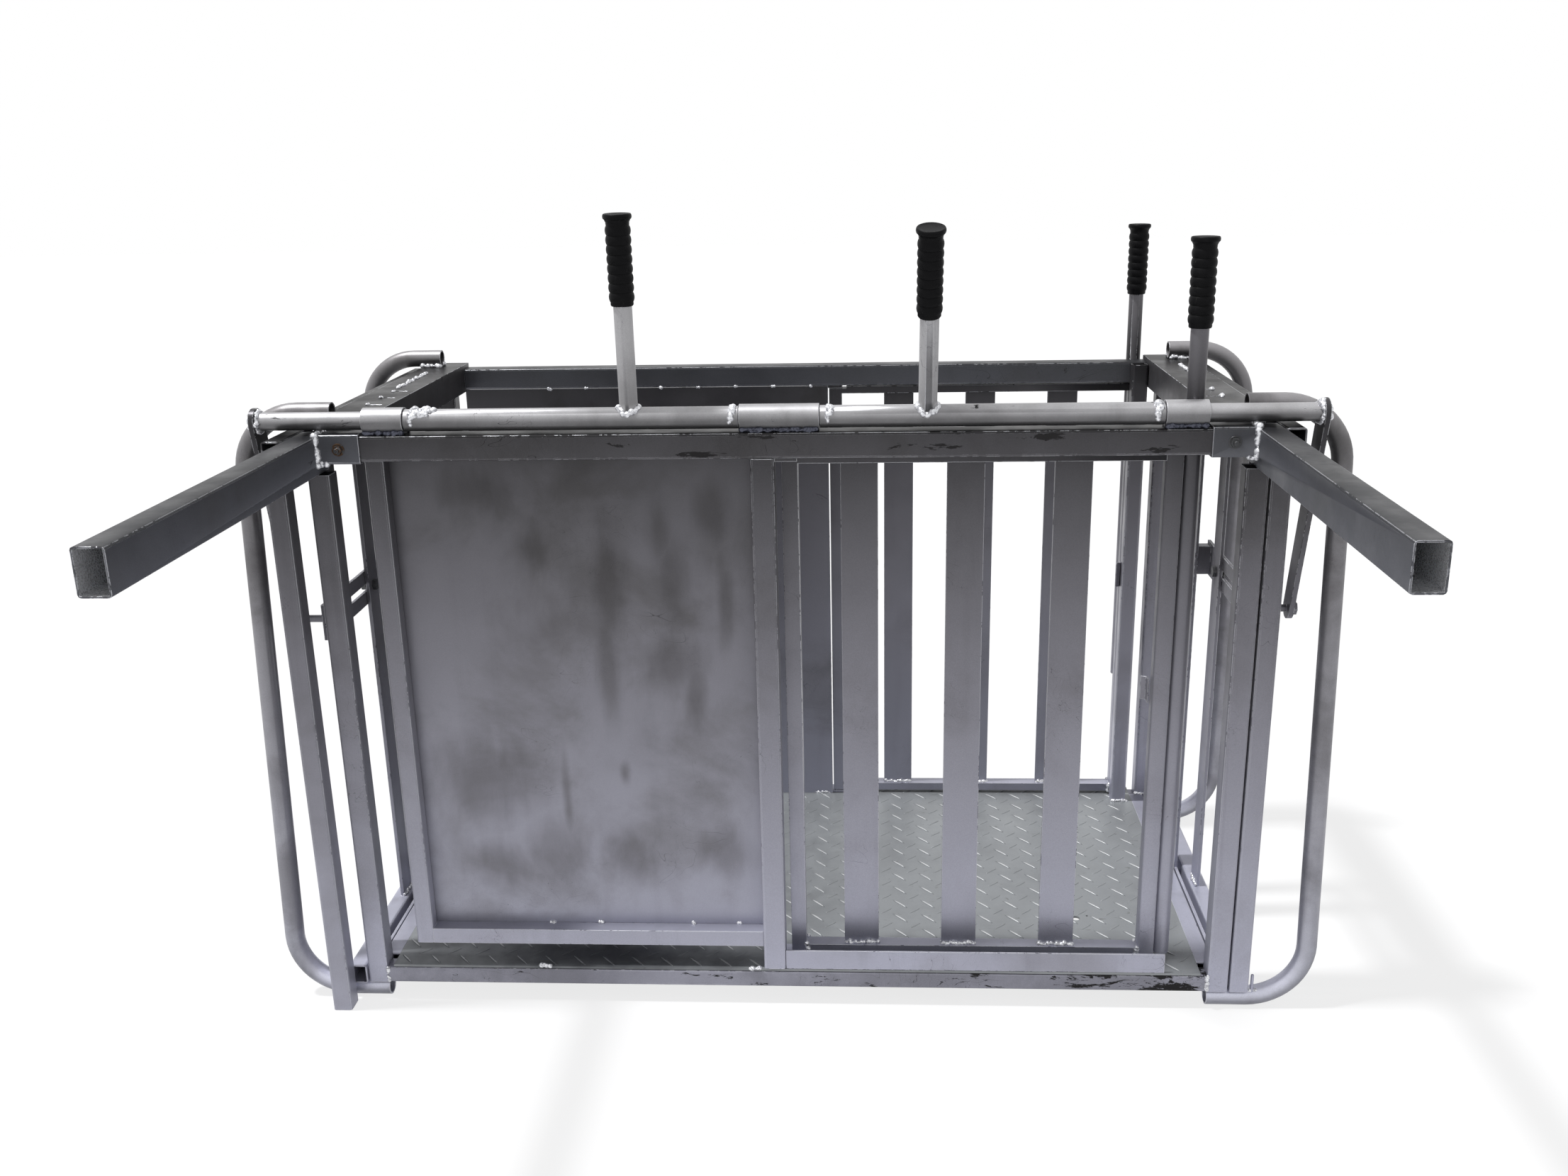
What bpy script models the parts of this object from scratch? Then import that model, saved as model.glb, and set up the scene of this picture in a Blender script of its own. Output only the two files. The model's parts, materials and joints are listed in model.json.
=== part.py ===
"""Portable squeeze and handling crate for calves and sheep, as separate welded, bolted and moving pieces."""
import math

import bmesh
import bpy
from mathutils import Matrix, Vector

# Driving dimensions, metres. "Depth" is measured back from the front face of the top rail,
# "height" is measured up from the underside of the welded frame.
GAP = 0.0003                 # between faces that touch
WIDTH = 0.72                 # front face to back face of the frame
HEIGHT = 0.95                # underside to top of the top rails
ARM_REACH = 0.62             # outrigger arms, in front of the frame
BACK_REACH = 0.038           # back gate's handle, behind the frame
HOOP_TUBE = 0.032
FRONT = ARM_REACH - (ARM_REACH + WIDTH + BACK_REACH) / 2
BACK = FRONT + WIDTH
UNDER = HOOP_TUBE + GAP
TOP = UNDER + HEIGHT

WALL = 0.0025                # rectangular tube
RAIL = 0.040                 # top rails, square tube
POST_IN, POST_OUT = 0.692, 0.727      # inner posts, distance from the middle plane
POST_DEEP = 0.035
SILL_IN, SILL_OUT = 0.681, 0.708      # inner sills
OUTER_IN, OUTER_OUT = 0.7275, 0.7585    # outer sills
SILL_TALL = 0.034
FLOOR_RAIL = 0.030
PLATE = 0.004
PLATE_TOP = FLOOR_RAIL + GAP + PLATE
ARM_IN, ARM_OUT, ARM_TALL = 0.706, 0.746, 0.060
ANGLE_IN, ANGLE_OUT, ANGLE_THICK, ANGLE_LEG = 0.668, 0.744, 0.006, 0.053
ANGLE_RISE = 0.008           # top of the end angles over the top rails
TOP_OUTER_IN, TOP_OUTER_OUT = 0.7463, 0.7763
LEAF_IN, LEAF_OUT = 0.7135, 0.7185    # sliding gate leaf
LINK_IN, LINK_OUT = 0.7435, 0.7485    # its drive bar, outboard of the fixed neck bar
NECK_IN, NECK_OUT, NECK_WIDE = 0.737, 0.743, 0.045

SHAFT_DEPTH = RAIL - 0.020   # the shaft keeps its distance from the leaves behind the rail
BEARING = 0.040
SHAFT_HEIGHT = HEIGHT + GAP + BEARING / 2
SHAFT = 0.028
LEVER_TUBE = SHAFT + 0.006
TURN_PLAY = 0.0006           # bore over shaft, rod or bolt
SHAFT_END = 0.800
BEARING_END = (0.572, 0.635)
BEARING_MID = 0.060
CRANK_REACH = 0.345
CRANK_THICK = 0.008
DRIVE_BOLT = 0.012
STEM = 0.028
GRIP_LONG = 0.132

GATE_TUBE = 0.027
GATE_SPAN = 0.611
GATE_DEEP = 0.025
GATE_HIGH = HEIGHT - RAIL - 0.0065
HEAD_HIGH = HEIGHT - RAIL - 0.0025                 # the gate's head passes close under the top rail
HINGE_ROD = 0.010
LUG, LUG_REACH = 0.005, 0.0135                     # thickness, and reach past the hinge
GATE_LOW = PLATE_TOP + LUG + 0.001                 # the gates' feet clear the lower lugs
PANEL_LOW, CHANNEL_TALL, GATE_CHANNEL_TALL = 0.075, 0.027, 0.016
FRONT_HINGE = (0.0125, FRONT + RAIL + 0.0155)      # x and y of the gates' hinge rods
BACK_HINGE = (0.0675, BACK - 0.020)
SHEET_THICK = 0.002
SLAT_WIDE, SLAT_THICK = 0.058, 0.005

LINK_HEIGHT = HEIGHT - 0.313 # middle of the leaf's drive bar
LINK_HALF = 0.030            # half its height
OUTER_POST, OUTER_DEEP = 0.032, 0.034
BACK_OUTER_IN = 0.729
LIP = 0.003                  # sill lips and channel webs
SLEEVE_IN, SLEEVE_WALL = 0.640, 0.003
SLEEVE_BOLT, SLEEVE_BOLT_OUT = 0.008, 0.672
GUIDE_BOLT = 0.010
TRACK_WALL, TRACK_PLAY, TRACK_TALL = 0.0035, 0.005, 0.032
TRACK_START = RAIL + SLEEVE_WALL + 0.0007
SLOTS, SLOT_FIRST, SLOT_PITCH, SLOT_WIDE = 3, 0.235, 0.068, 0.006
HOOP_REACH, HOOP_BEND, HOOP_WALL = 0.855, 0.095, 0.0025
HOOP_TOP_IN = 0.705
HOOP_FOOT_IN = POST_IN + 0.0015       # the feet end under the inner posts, clear of the floor rails
ROUND = 20                   # sides of a round piece

ENDS = {
    # crank: rest angle of the crank from vertical; swing: degrees it turns back from there
    "left": {"side": -1, "crank": 10.5, "swing": 24.0, "neck": 0.255, "stem": -0.227, "tilt": 2.0,
             "stem_long": 0.295, "outer_in": 0.747, "outer_front": -0.038, "outer_foot": -UNDER + 0.001},
    "right": {"side": 1, "crank": 15.0, "swing": 22.0, "neck": 0.316, "stem": 0.222, "tilt": 17.0,
              "stem_long": 0.285, "outer_in": 0.729, "outer_front": 0.0, "outer_foot": 0.0},
}

for thing in list(bpy.data.objects):
    bpy.data.objects.remove(thing)
PIECES = bpy.data.collections.new("squeeze_chute")
CUTTERS = bpy.data.collections.new("cutters")
bpy.context.scene.collection.children.link(PIECES)
bpy.context.scene.collection.children.link(CUTTERS)


def material(name, colour, roughness, metallic):
    made = bpy.data.materials.new(name)
    made.use_nodes = True
    shader = made.node_tree.nodes["Principled BSDF"]
    shader.inputs["Base Color"].default_value = (*colour, 1.0)
    shader.inputs["Roughness"].default_value = roughness
    shader.inputs["Metallic"].default_value = metallic
    return made


STEEL = material("painted_steel", (0.30, 0.31, 0.34), 0.45, 0.7)
SHEET = material("sheet_steel", (0.33, 0.34, 0.38), 0.5, 0.6)
TREAD = material("tread_steel", (0.28, 0.29, 0.29), 0.5, 0.7)
BOLTS = material("zinc_bolt", (0.42, 0.41, 0.38), 0.4, 0.8)
RUBBER = material("black_rubber", (0.012, 0.012, 0.013), 0.6, 0.0)


def depth(value):
    """World y of a distance behind the front face."""
    return FRONT + value


def height(value):
    """World z of a height over the frame's underside."""
    return UNDER + value


def span(side, near, far):
    """World x range of a piece between two distances from the middle plane."""
    return tuple(sorted((side * near, side * far)))


def rounded(low, high, radius, steps=2):
    """Corner points of a rectangle with round corners, anticlockwise."""
    points = []
    corners = ((high[0], high[1], 0), (low[0], high[1], 90), (low[0], low[1], 180), (high[0], low[1], 270))
    for corner_x, corner_y, start in corners:
        centre = (corner_x - math.copysign(radius, corner_x - low[0] - radius),
                  corner_y - math.copysign(radius, corner_y - low[1] - radius))
        for step in range(steps + 1):
            angle = math.radians(start + 90 * step / steps)
            points.append((centre[0] + radius * math.cos(angle), centre[1] + radius * math.sin(angle)))
    return points


def rectangle(low, high):
    return [(low[0], low[1]), (high[0], low[1]), (high[0], high[1]), (low[0], high[1])]


def circle(centre, radius, sides=ROUND, turn=0.0):
    angles = [2 * math.pi * (step + turn) / sides for step in range(sides)]
    return [(centre[0] + radius * math.cos(angle), centre[1] + radius * math.sin(angle)) for angle in angles]


# How a section's own x, y and length lie in the world for a bar along each axis.
TURNS = {"X": (math.pi / 2, 0, math.pi / 2), "Y": (math.pi / 2, 0, 0), "Z": (0, 0, 0)}


def place(axis, across, up, along):
    """World point from section coordinates of a bar along the axis."""
    return {"X": Vector((along, across, up)), "Y": Vector((across, along, up)),
            "Z": Vector((across, up, along))}[axis]


def bar(name, axis, loops, start, end, look=None):
    """A section, outline first and holes after it, extruded along an axis from start to end."""
    middle = [sum(point[i] for point in loops[0]) / len(loops[0]) for i in (0, 1)]
    curve = bpy.data.curves.new(name, "CURVE")
    curve.dimensions = "2D"
    curve.fill_mode = "BOTH"
    curve.extrude = abs(end - start) / 2
    for loop in loops:
        spline = curve.splines.new("POLY")
        spline.points.add(len(loop) - 1)
        spline.use_cyclic_u = True
        for point, (across, up) in zip(spline.points, loop):
            point.co = (across - middle[0], up - middle[1], 0, 1)
    made = bpy.data.objects.new(name, curve)
    made.rotation_euler = TURNS[axis]
    made.location = place(axis, middle[0], middle[1], (start + end) / 2)
    PIECES.objects.link(made)
    made.data.materials.append(look or STEEL)
    return made


def box_tube(name, axis, low, high, start, end, wall=WALL, look=None):
    """Rectangular hollow section, open at both ends."""
    inner_low, inner_high = [value + wall for value in low], [value - wall for value in high]
    loops = [rounded(low, high, 0.004), rectangle(inner_low, inner_high)]
    return bar(name, axis, loops, start, end, look)


def round_tube(name, axis, centre, outer, bore, start, end, look=None):
    loops = [circle(centre, outer / 2)] + ([circle(centre, bore / 2)] if bore else [])
    return bar(name, axis, loops, start, end, look)


def box(name, low, high, look=None):
    bpy.ops.mesh.primitive_cube_add(size=1)
    made = bpy.context.object
    made.name = made.data.name = name
    size = [b - a for a, b in zip(low, high)]
    made.data.transform(Matrix.Diagonal((*size, 1)))
    made.location = [(a + b) / 2 for a, b in zip(low, high)]
    for owner in list(made.users_collection):
        owner.objects.unlink(made)
    PIECES.objects.link(made)
    made.data.materials.append(look or STEEL)
    return made


def as_mesh(curve_object):
    """The same shape as a closed mesh, for a piece that is cut or joined."""
    evaluated = curve_object.evaluated_get(bpy.context.evaluated_depsgraph_get())
    mesh = bpy.data.meshes.new_from_object(evaluated)
    work = bmesh.new()
    work.from_mesh(mesh)
    bmesh.ops.remove_doubles(work, verts=work.verts, dist=0.00001)
    bmesh.ops.recalc_face_normals(work, faces=work.faces)
    work.to_mesh(mesh)
    work.free()
    name, world = curve_object.name, curve_object.matrix_world.copy()
    bpy.data.objects.remove(curve_object)
    made = bpy.data.objects.new(name, mesh)
    made.matrix_world = world
    PIECES.objects.link(made)
    return made


def combine(base, others, operation):
    """Boolean of the base with each of the others, which become hidden cutters."""
    bpy.context.view_layer.update()
    if base.type == "CURVE":
        base = as_mesh(base)
    for other in others:
        if other.type == "CURVE":
            other = as_mesh(other)
        PIECES.objects.unlink(other)
        CUTTERS.objects.link(other)
        other.hide_render = True
        other.display_type = "WIRE"
        modifier = base.modifiers.new(operation.lower(), "BOOLEAN")
        modifier.operation = operation
        modifier.solver = "EXACT"
        modifier.object = other
    return base


def weld(base, *others):
    return combine(base, others, "UNION")


def cut(base, *others):
    return combine(base, others, "DIFFERENCE")


def turned(name, profile, spot, look):
    """A profile of (radius, height) points, outer side from top to bottom, turned about Z."""
    mesh = bpy.data.meshes.new(name)
    work = bmesh.new()
    corners = [work.verts.new((radius, 0, level)) for radius, level in profile]
    for first, second in zip(corners, corners[1:]):
        work.edges.new((first, second))
    work.to_mesh(mesh)
    work.free()
    made = bpy.data.objects.new(name, mesh)
    screw = made.modifiers.new("turn", "SCREW")
    screw.steps = screw.render_steps = ROUND
    screw.use_merge_vertices = True
    screw.merge_threshold = 0.0001
    made.location = spot
    PIECES.objects.link(made)
    mesh.materials.append(look)
    return made


def hexagon(centre, across_flats):
    return circle(centre, across_flats / math.sqrt(3), 6)


def floor_frame():
    for name, near in (("floor_front_rail", 0), ("floor_back_rail", WIDTH - FLOOR_RAIL)):
        low, high = (depth(near), height(0)), (depth(near + FLOOR_RAIL), height(FLOOR_RAIL))
        box_tube(name, "X", low, high, -POST_IN + GAP, POST_IN - GAP)
    edge = 0.001
    plate = box("tread_plate", (-SILL_IN + GAP, depth(edge), height(FLOOR_RAIL + GAP)),
                (SILL_IN - GAP, depth(WIDTH - edge), height(PLATE_TOP)), TREAD)
    drain = (0.499, depth(0.175))
    nail_hole = (drain[0] + 0.021, drain[1] + 0.008)
    holes = []
    for name, spot, bore in (("drain_cutter", drain, 0.015), ("nail_cutter", nail_hole, 0.004)):
        low, high = height(FLOOR_RAIL - 0.01), height(PLATE_TOP + 0.01)
        holes.append(round_tube(name, "Z", spot, bore, 0, low, high))
    cut(plate, *holes)


def end_sills(end, spec):
    """Inner sill with the lip that closes the track's underside, and outer sill with the fixed neck bar."""
    side = spec["side"]
    low, high = height(0), height(SILL_TALL)
    lip_end, lip_top = OUTER_IN - GAP, low + LIP
    outer = [(SILL_IN, low), (lip_end, low), (lip_end, lip_top), (SILL_OUT, lip_top), (SILL_OUT, high),
             (SILL_IN, high)]
    inner = rectangle((SILL_IN + WALL, lip_top), (SILL_OUT - WALL, high - WALL))
    loops = [[(side * x, z) for x, z in loop] for loop in (outer, inner)]
    bar(f"{end}_inner_sill", "Y", loops, depth(POST_DEEP + GAP), depth(WIDTH - POST_DEEP - GAP))
    near, far = span(side, OUTER_IN, OUTER_OUT)
    sill = box_tube(f"{end}_outer_sill", "Y", (near, low), (far, high),
                    depth(spec["outer_front"] + OUTER_DEEP + GAP), depth(WIDTH - OUTER_POST - GAP))
    near, far = span(side, NECK_IN, NECK_OUT)
    neck_top = height(HEIGHT + ANGLE_RISE - ANGLE_THICK - GAP)
    neck = box(f"{end}_neck_bar", (near, depth(spec["neck"] - NECK_WIDE / 2), high - 0.001),
               (far, depth(spec["neck"] + NECK_WIDE / 2), neck_top))
    centre = (depth(spec["neck"]), height(LINK_HEIGHT))
    hole = round_tube(f"{end}_neck_hole", "X", centre, GUIDE_BOLT + TURN_PLAY, 0, near - 0.01, far + 0.01)
    cut(weld(sill, neck), hole)


def guide_bolt(end, spec):
    """Bolt through the neck bar; the leaf's drive bar slides on it."""
    side = spec["side"]
    centre = (depth(spec["neck"]), height(LINK_HEIGHT))
    flats = hexagon(centre, 0.017)
    reach = span(side, NECK_IN - 0.004, LINK_OUT + 0.012)
    shank = round_tube(f"{end}_guide_bolt", "X", centre, GUIDE_BOLT, 0, *reach, BOLTS)
    head = bar(f"{end}_guide_head", "X", [flats], *span(side, NECK_IN - GAP, NECK_IN - 0.0065))
    nut = bar(f"{end}_guide_nut", "X", [flats], *span(side, LINK_OUT + 0.0008, LINK_OUT + 0.0088))
    weld(shank, head, nut)


def posts(end, spec):
    side = spec["side"]
    near, far = span(side, POST_IN, POST_OUT)
    under_arm = height(HEIGHT - ARM_TALL - GAP)
    under_angle = height(HEIGHT + ANGLE_RISE - ANGLE_THICK - GAP)
    box_tube(f"{end}_front_inner_post", "Z", (near, depth(0)), (far, depth(POST_DEEP)), height(0), under_arm)
    box_tube(f"{end}_back_inner_post", "Z", (near, depth(WIDTH - POST_DEEP)), (far, depth(WIDTH)), height(0),
             under_angle)
    near, far = span(side, spec["outer_in"], spec["outer_in"] + OUTER_POST)
    front = spec["outer_front"]
    box_tube(f"{end}_front_outer_post", "Z", (near, depth(front)), (far, depth(front + OUTER_DEEP)),
             height(spec["outer_foot"]), under_arm)
    near, far = span(side, BACK_OUTER_IN, BACK_OUTER_IN + OUTER_POST)
    box_tube(f"{end}_back_outer_post", "Z", (near, depth(WIDTH - OUTER_POST)), (far, depth(WIDTH)), height(0),
             under_arm)


def sleeve_hole(name, side):
    """Cutter for the bolt that pins an arm's sleeve to the front top rail."""
    spot = (side * SLEEVE_BOLT_OUT, TOP - RAIL / 2)
    return round_tube(name, "Y", spot, SLEEVE_BOLT + TURN_PLAY, 0, depth(-0.02), depth(0.015))


def top_rails():
    reach = ARM_IN - WALL
    front = box_tube("front_top_rail", "X", (depth(0), TOP - RAIL), (depth(RAIL), TOP), -reach, reach)
    cut(front, *[sleeve_hole(f"{end}_rail_hole", spec["side"]) for end, spec in ENDS.items()])
    box_tube("back_top_rail", "X", (depth(WIDTH - RAIL), TOP - RAIL), (depth(WIDTH), TOP), -ANGLE_IN + GAP,
             ANGLE_IN - GAP)


def end_top(end, spec):
    """Angle that carries the hoops and the track channel, and the outer top rail."""
    side = spec["side"]
    high = TOP + ANGLE_RISE
    web = high - ANGLE_THICK
    leg_out, leg_low = ANGLE_IN + ANGLE_THICK, high - ANGLE_LEG
    outline = [(ANGLE_IN, leg_low), (leg_out, leg_low), (leg_out, web), (ANGLE_OUT, web), (ANGLE_OUT, high),
               (ANGLE_IN, high)]
    loops = [[(side * x, z) for x, z in outline]]
    angle = bar(f"{end}_end_angle", "Y", loops, depth(TRACK_START), depth(WIDTH))
    near, far = span(side, 0.682, 0.704)
    slots = []
    for number in range(SLOTS):
        middle = depth(SLOT_FIRST + SLOT_PITCH * number)
        slots.append(box(f"{end}_angle_slot_{number}", (near, middle - SLOT_WIDE / 2, high - 0.02),
                         (far, middle + SLOT_WIDE / 2, high + 0.01)))
    cut(angle, *slots)
    low, ceiling = TOP - TRACK_TALL, web - GAP - LIP
    inner, outer = LEAF_IN - TRACK_PLAY, LEAF_OUT + TRACK_PLAY
    channel = [(inner - TRACK_WALL, low), (inner, low), (inner, ceiling), (outer, ceiling), (outer, low),
               (outer + TRACK_WALL, low), (outer + TRACK_WALL, web - GAP), (inner - TRACK_WALL, web - GAP)]
    bar(f"{end}_track_channel", "Y", [[(side * x, z) for x, z in channel]], depth(TRACK_START),
        depth(WIDTH - POST_DEEP - GAP))
    near, far = span(side, TOP_OUTER_IN, TOP_OUTER_OUT)
    box_tube(f"{end}_outer_top_rail", "Y", (near, TOP - ARM_TALL), (far, TOP), depth(spec["outer_front"]),
             depth(WIDTH - 0.015))


def outrigger(end, spec):
    """Arm and the sleeve welded to it, which slips over the front top rail."""
    side = spec["side"]
    near, far = span(side, ARM_IN, ARM_OUT)
    arm = box_tube(f"{end}_outrigger", "Y", (near, TOP - ARM_TALL), (far, TOP), depth(-ARM_REACH), depth(RAIL))
    low, high = (depth(-SLEEVE_WALL), TOP - RAIL - SLEEVE_WALL), (depth(RAIL + SLEEVE_WALL), TOP + SLEEVE_WALL)
    hollow = rectangle((depth(-GAP), TOP - RAIL - GAP), (depth(RAIL + GAP), TOP + GAP))
    loops = [rounded(low, high, SLEEVE_WALL), hollow]
    sleeve = bar(f"{end}_sleeve", "X", loops, *span(side, SLEEVE_IN, ARM_IN + 0.001))
    cut(weld(arm, sleeve), sleeve_hole(f"{end}_sleeve_hole", side))
    spot = (side * SLEEVE_BOLT_OUT, TOP - RAIL / 2)
    shank = round_tube(f"{end}_sleeve_bolt", "Y", spot, SLEEVE_BOLT, 0, depth(-SLEEVE_WALL - 0.009),
                       depth(0.010), BOLTS)
    head = bar(f"{end}_sleeve_head", "Y", [hexagon(spot, 0.013)], depth(-SLEEVE_WALL - 0.0065),
               depth(-SLEEVE_WALL - GAP))
    weld(shank, head)


def hoop(name, side, top_depth, foot_depth):
    """C-shaped tube: top end on the end angle, foot under the sills, leaning slightly between them."""
    steps = 5
    high, low = TOP + ANGLE_RISE + GAP + HOOP_TUBE / 2, HOOP_TUBE / 2
    turn_out = HOOP_REACH - HOOP_BEND
    straight_low, straight_high = low + HOOP_BEND, high - HOOP_BEND
    path = [(HOOP_TOP_IN, high)]
    for centre, start in (((turn_out, straight_high), 90), ((turn_out, straight_low), 0)):
        for step in range(steps + 1):
            angle = math.radians(start - 90 * step / steps)
            path.append((centre[0] + HOOP_BEND * math.cos(angle), centre[1] + HOOP_BEND * math.sin(angle)))
    path.append((HOOP_FOOT_IN, low))
    curve = bpy.data.curves.new(name, "CURVE")
    curve.dimensions = "3D"
    curve.bevel_depth = HOOP_TUBE / 2
    curve.bevel_resolution = 4
    spline = curve.splines.new("POLY")
    spline.points.add(len(path) - 1)
    for point, (x, z) in zip(spline.points, path):
        lean = min(max((z - straight_low) / (straight_high - straight_low), 0), 1)
        point.co = (side * x, depth(foot_depth + (top_depth - foot_depth) * lean), z, 1)
    made = bpy.data.objects.new(name, curve)
    PIECES.objects.link(made)
    curve.materials.append(STEEL)
    shell = made.modifiers.new("wall", "SOLIDIFY")
    shell.thickness = HOOP_WALL
    shell.offset = -1


def bearings():
    centre = (depth(SHAFT_DEPTH), height(SHAFT_HEIGHT))
    places = {"left_bearing": (-BEARING_END[1], -BEARING_END[0]), "centre_bearing": (-BEARING_MID, BEARING_MID),
              "right_bearing": BEARING_END}
    for name, (start, end) in places.items():
        round_tube(name, "X", centre, BEARING, SHAFT + 0.0008, start, end)


def hinge_post(name, post_low, post_high, lug_low, lug_high, rod):
    """Centre post with a lug above and below the gate's hinge stile."""
    low, high = height(PLATE_TOP + GAP), height(HEIGHT - RAIL - GAP)
    post = box_tube(name, "Z", post_low, post_high, low, high)
    lugs = [box(f"{name}_lug_{number}", (*lug_low, level), (*lug_high, level + LUG))
            for number, level in enumerate((low, high - LUG))]
    bore = round_tube(f"{name}_bore", "Z", rod, HINGE_ROD + TURN_PLAY, 0, low - 0.01, high + 0.01)
    cut(weld(post, *lugs), bore)


def gate_left(hinge):
    """World x of a gate's hinge edge."""
    return hinge[0] - GATE_DEEP / 2


def front_side():
    """Fixed left panel, hinge post and the strip along the floor under the gate."""
    post_left, post_right = -0.045, -0.008
    hinge_post("front_centre_post", (post_left, depth(0)), (post_right, depth(POST_DEEP)),
               (post_right - 0.012, depth(0.005)), (FRONT_HINGE[0] + LUG_REACH, FRONT_HINGE[1] + 0.0155),
               FRONT_HINGE)
    low, high = height(PANEL_LOW), height(HEIGHT - RAIL - GAP)
    near = 0.005
    far = near + GATE_DEEP
    stile = box_tube("front_panel_frame", "Z", (-0.637, depth(near)), (-0.607, depth(far)), low, high)
    weld(stile, channel_rail("front_panel_rail", -0.608, post_left - GAP, near, low, CHANNEL_TALL))
    box("front_sheet", (-0.634, depth(far + GAP), height(PANEL_LOW + 0.012)),
        (post_left - GAP, depth(far + GAP + SHEET_THICK), high), SHEET)
    box("front_bottom_strip", (post_right + GAP, depth(0.0013), height(PLATE_TOP + GAP)),
        (gate_left(FRONT_HINGE) + GATE_SPAN + 0.010, depth(0.0013 + LIP), height(0.069)))


def back_side():
    """Fixed left sheet, hinge post and the post that the gate closes against."""
    post_left = BACK_HINGE[0] - 0.0545
    hinge_post("back_centre_post", (post_left, depth(WIDTH - POST_DEEP)), (post_left + POST_DEEP, depth(WIDTH)),
               (post_left + 0.018, depth(WIDTH - 0.034)), (BACK_HINGE[0] + LUG_REACH, depth(WIDTH - 0.005)),
               BACK_HINGE)
    sheet_back = WIDTH - POST_DEEP - GAP
    box("back_sheet", (-ANGLE_IN + GAP, depth(sheet_back - SHEET_THICK), height(PLATE_TOP + GAP)),
        (post_left + 0.040, depth(sheet_back), height(HEIGHT - RAIL - GAP)), SHEET)
    box_tube("keeper_post", "Z", (0.637, depth(WIDTH - RAIL - GAP - 0.030)), (0.667, depth(WIDTH - RAIL - GAP)),
             height(PLATE_TOP + GAP), TOP - 0.002)


def channel_rail(name, start, end, near, low, tall):
    """Bottom rail of a panel or gate: a channel, open side down."""
    front, back, high = depth(near), depth(near + GATE_DEEP), low + tall
    outline = [(front, low), (front + LIP, low), (front + LIP, high - LIP), (back - LIP, high - LIP),
               (back - LIP, low), (back, low), (back, high), (front, high)]
    return bar(name, "X", [outline], start, end)


def hinge_rods():
    low = height(PLATE_TOP + 2 * GAP)
    top = height(HEIGHT - RAIL)
    shank = round_tube("front_hinge_rod", "Z", FRONT_HINGE, HINGE_ROD, 0, low, top + 0.004, BOLTS)
    weld(shank, round_tube("front_rod_head", "Z", FRONT_HINGE, HINGE_ROD + 0.007, 0, top, top + 0.005))
    round_tube("back_hinge_rod", "Z", BACK_HINGE, HINGE_ROD, 0, low, top - 2 * GAP, BOLTS)


def pivot(name, spot):
    """Empty on a joint's axis, the parent of the pieces that move with it."""
    empty = bpy.data.objects.new(name, None)
    empty.location = spot
    PIECES.objects.link(empty)
    return empty


def carry(empty, *pieces):
    bpy.context.view_layer.update()
    for piece in pieces:
        piece.parent = empty
        piece.matrix_parent_inverse = empty.matrix_world.inverted()


def grip(name, spot, tube):
    """Closed rubber grip, pushed over a tube from above; its local Z is the tube's axis."""
    bore, body, flange, cap = tube / 2 + GAP, 0.019, 0.0215, 0.006
    profile = [(0, GRIP_LONG), (flange - 0.002, GRIP_LONG), (flange, GRIP_LONG - 0.002),
               (flange, GRIP_LONG - cap), (body, GRIP_LONG - cap - 0.001), (body, 0.001), (body - 0.001, 0),
               (bore, 0), (bore, GRIP_LONG - 0.005), (0, GRIP_LONG - 0.005)]
    return turned(name, profile, spot, RUBBER)


def grip_base(tube_top):
    """World z of a grip's open end, with the tube's end just under the grip's closed top."""
    return tube_top - GRIP_LONG + 0.005 + GAP + 0.0002


def lever(end, spec):
    """Handle tube turning on the front shaft, with the inner shaft and the crank that drives the leaf."""
    side = spec["side"]
    axis = (depth(SHAFT_DEPTH), height(SHAFT_HEIGHT))
    run = 0.0012
    reach = span(side, BEARING_MID + run, BEARING_END[0] - run)
    tube = round_tube(f"{end}_handle_tube", "X", axis, LEVER_TUBE, 0, *reach)
    stem_top = axis[1] + spec["stem_long"]
    stem_bottom = axis[1] + 0.0105
    stem = round_tube(f"{end}_stem", "Z", (spec["stem"], axis[0]), STEM, STEM - 2 * WALL, stem_bottom, stem_top)
    bore = round_tube(f"{end}_tube_bore", "X", axis, SHAFT + TURN_PLAY, 0, *span(side, 0.02, 0.62))
    handle_grip = grip(f"{end}_grip", (spec["stem"], axis[0], grip_base(stem_top)), STEM)
    to_axis, turn = Matrix.Translation((0, *axis)), Matrix.Rotation(math.radians(spec["tilt"]), 4, "X")
    tilt = to_axis @ turn @ to_axis.inverted()
    bpy.context.view_layer.update()
    for piece in (stem, handle_grip):
        piece.matrix_world = tilt @ piece.matrix_world
    tube = cut(weld(tube, stem), bore)
    shaft = round_tube(f"{end}_shaft", "X", axis, SHAFT, SHAFT - 0.006, *span(side, 0.003, SHAFT_END))
    crank = crank_plate(end, spec, axis)
    carry(pivot(f"{end}_lever_axis", (side * SHAFT_END, *axis)), tube, shaft, crank, handle_grip)


def bolt_spot(spec):
    """World y and z of the drive bolt at rest."""
    angle = math.radians(spec["crank"])
    return (depth(SHAFT_DEPTH) + CRANK_REACH * math.sin(angle),
            height(SHAFT_HEIGHT) - CRANK_REACH * math.cos(angle))


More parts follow.
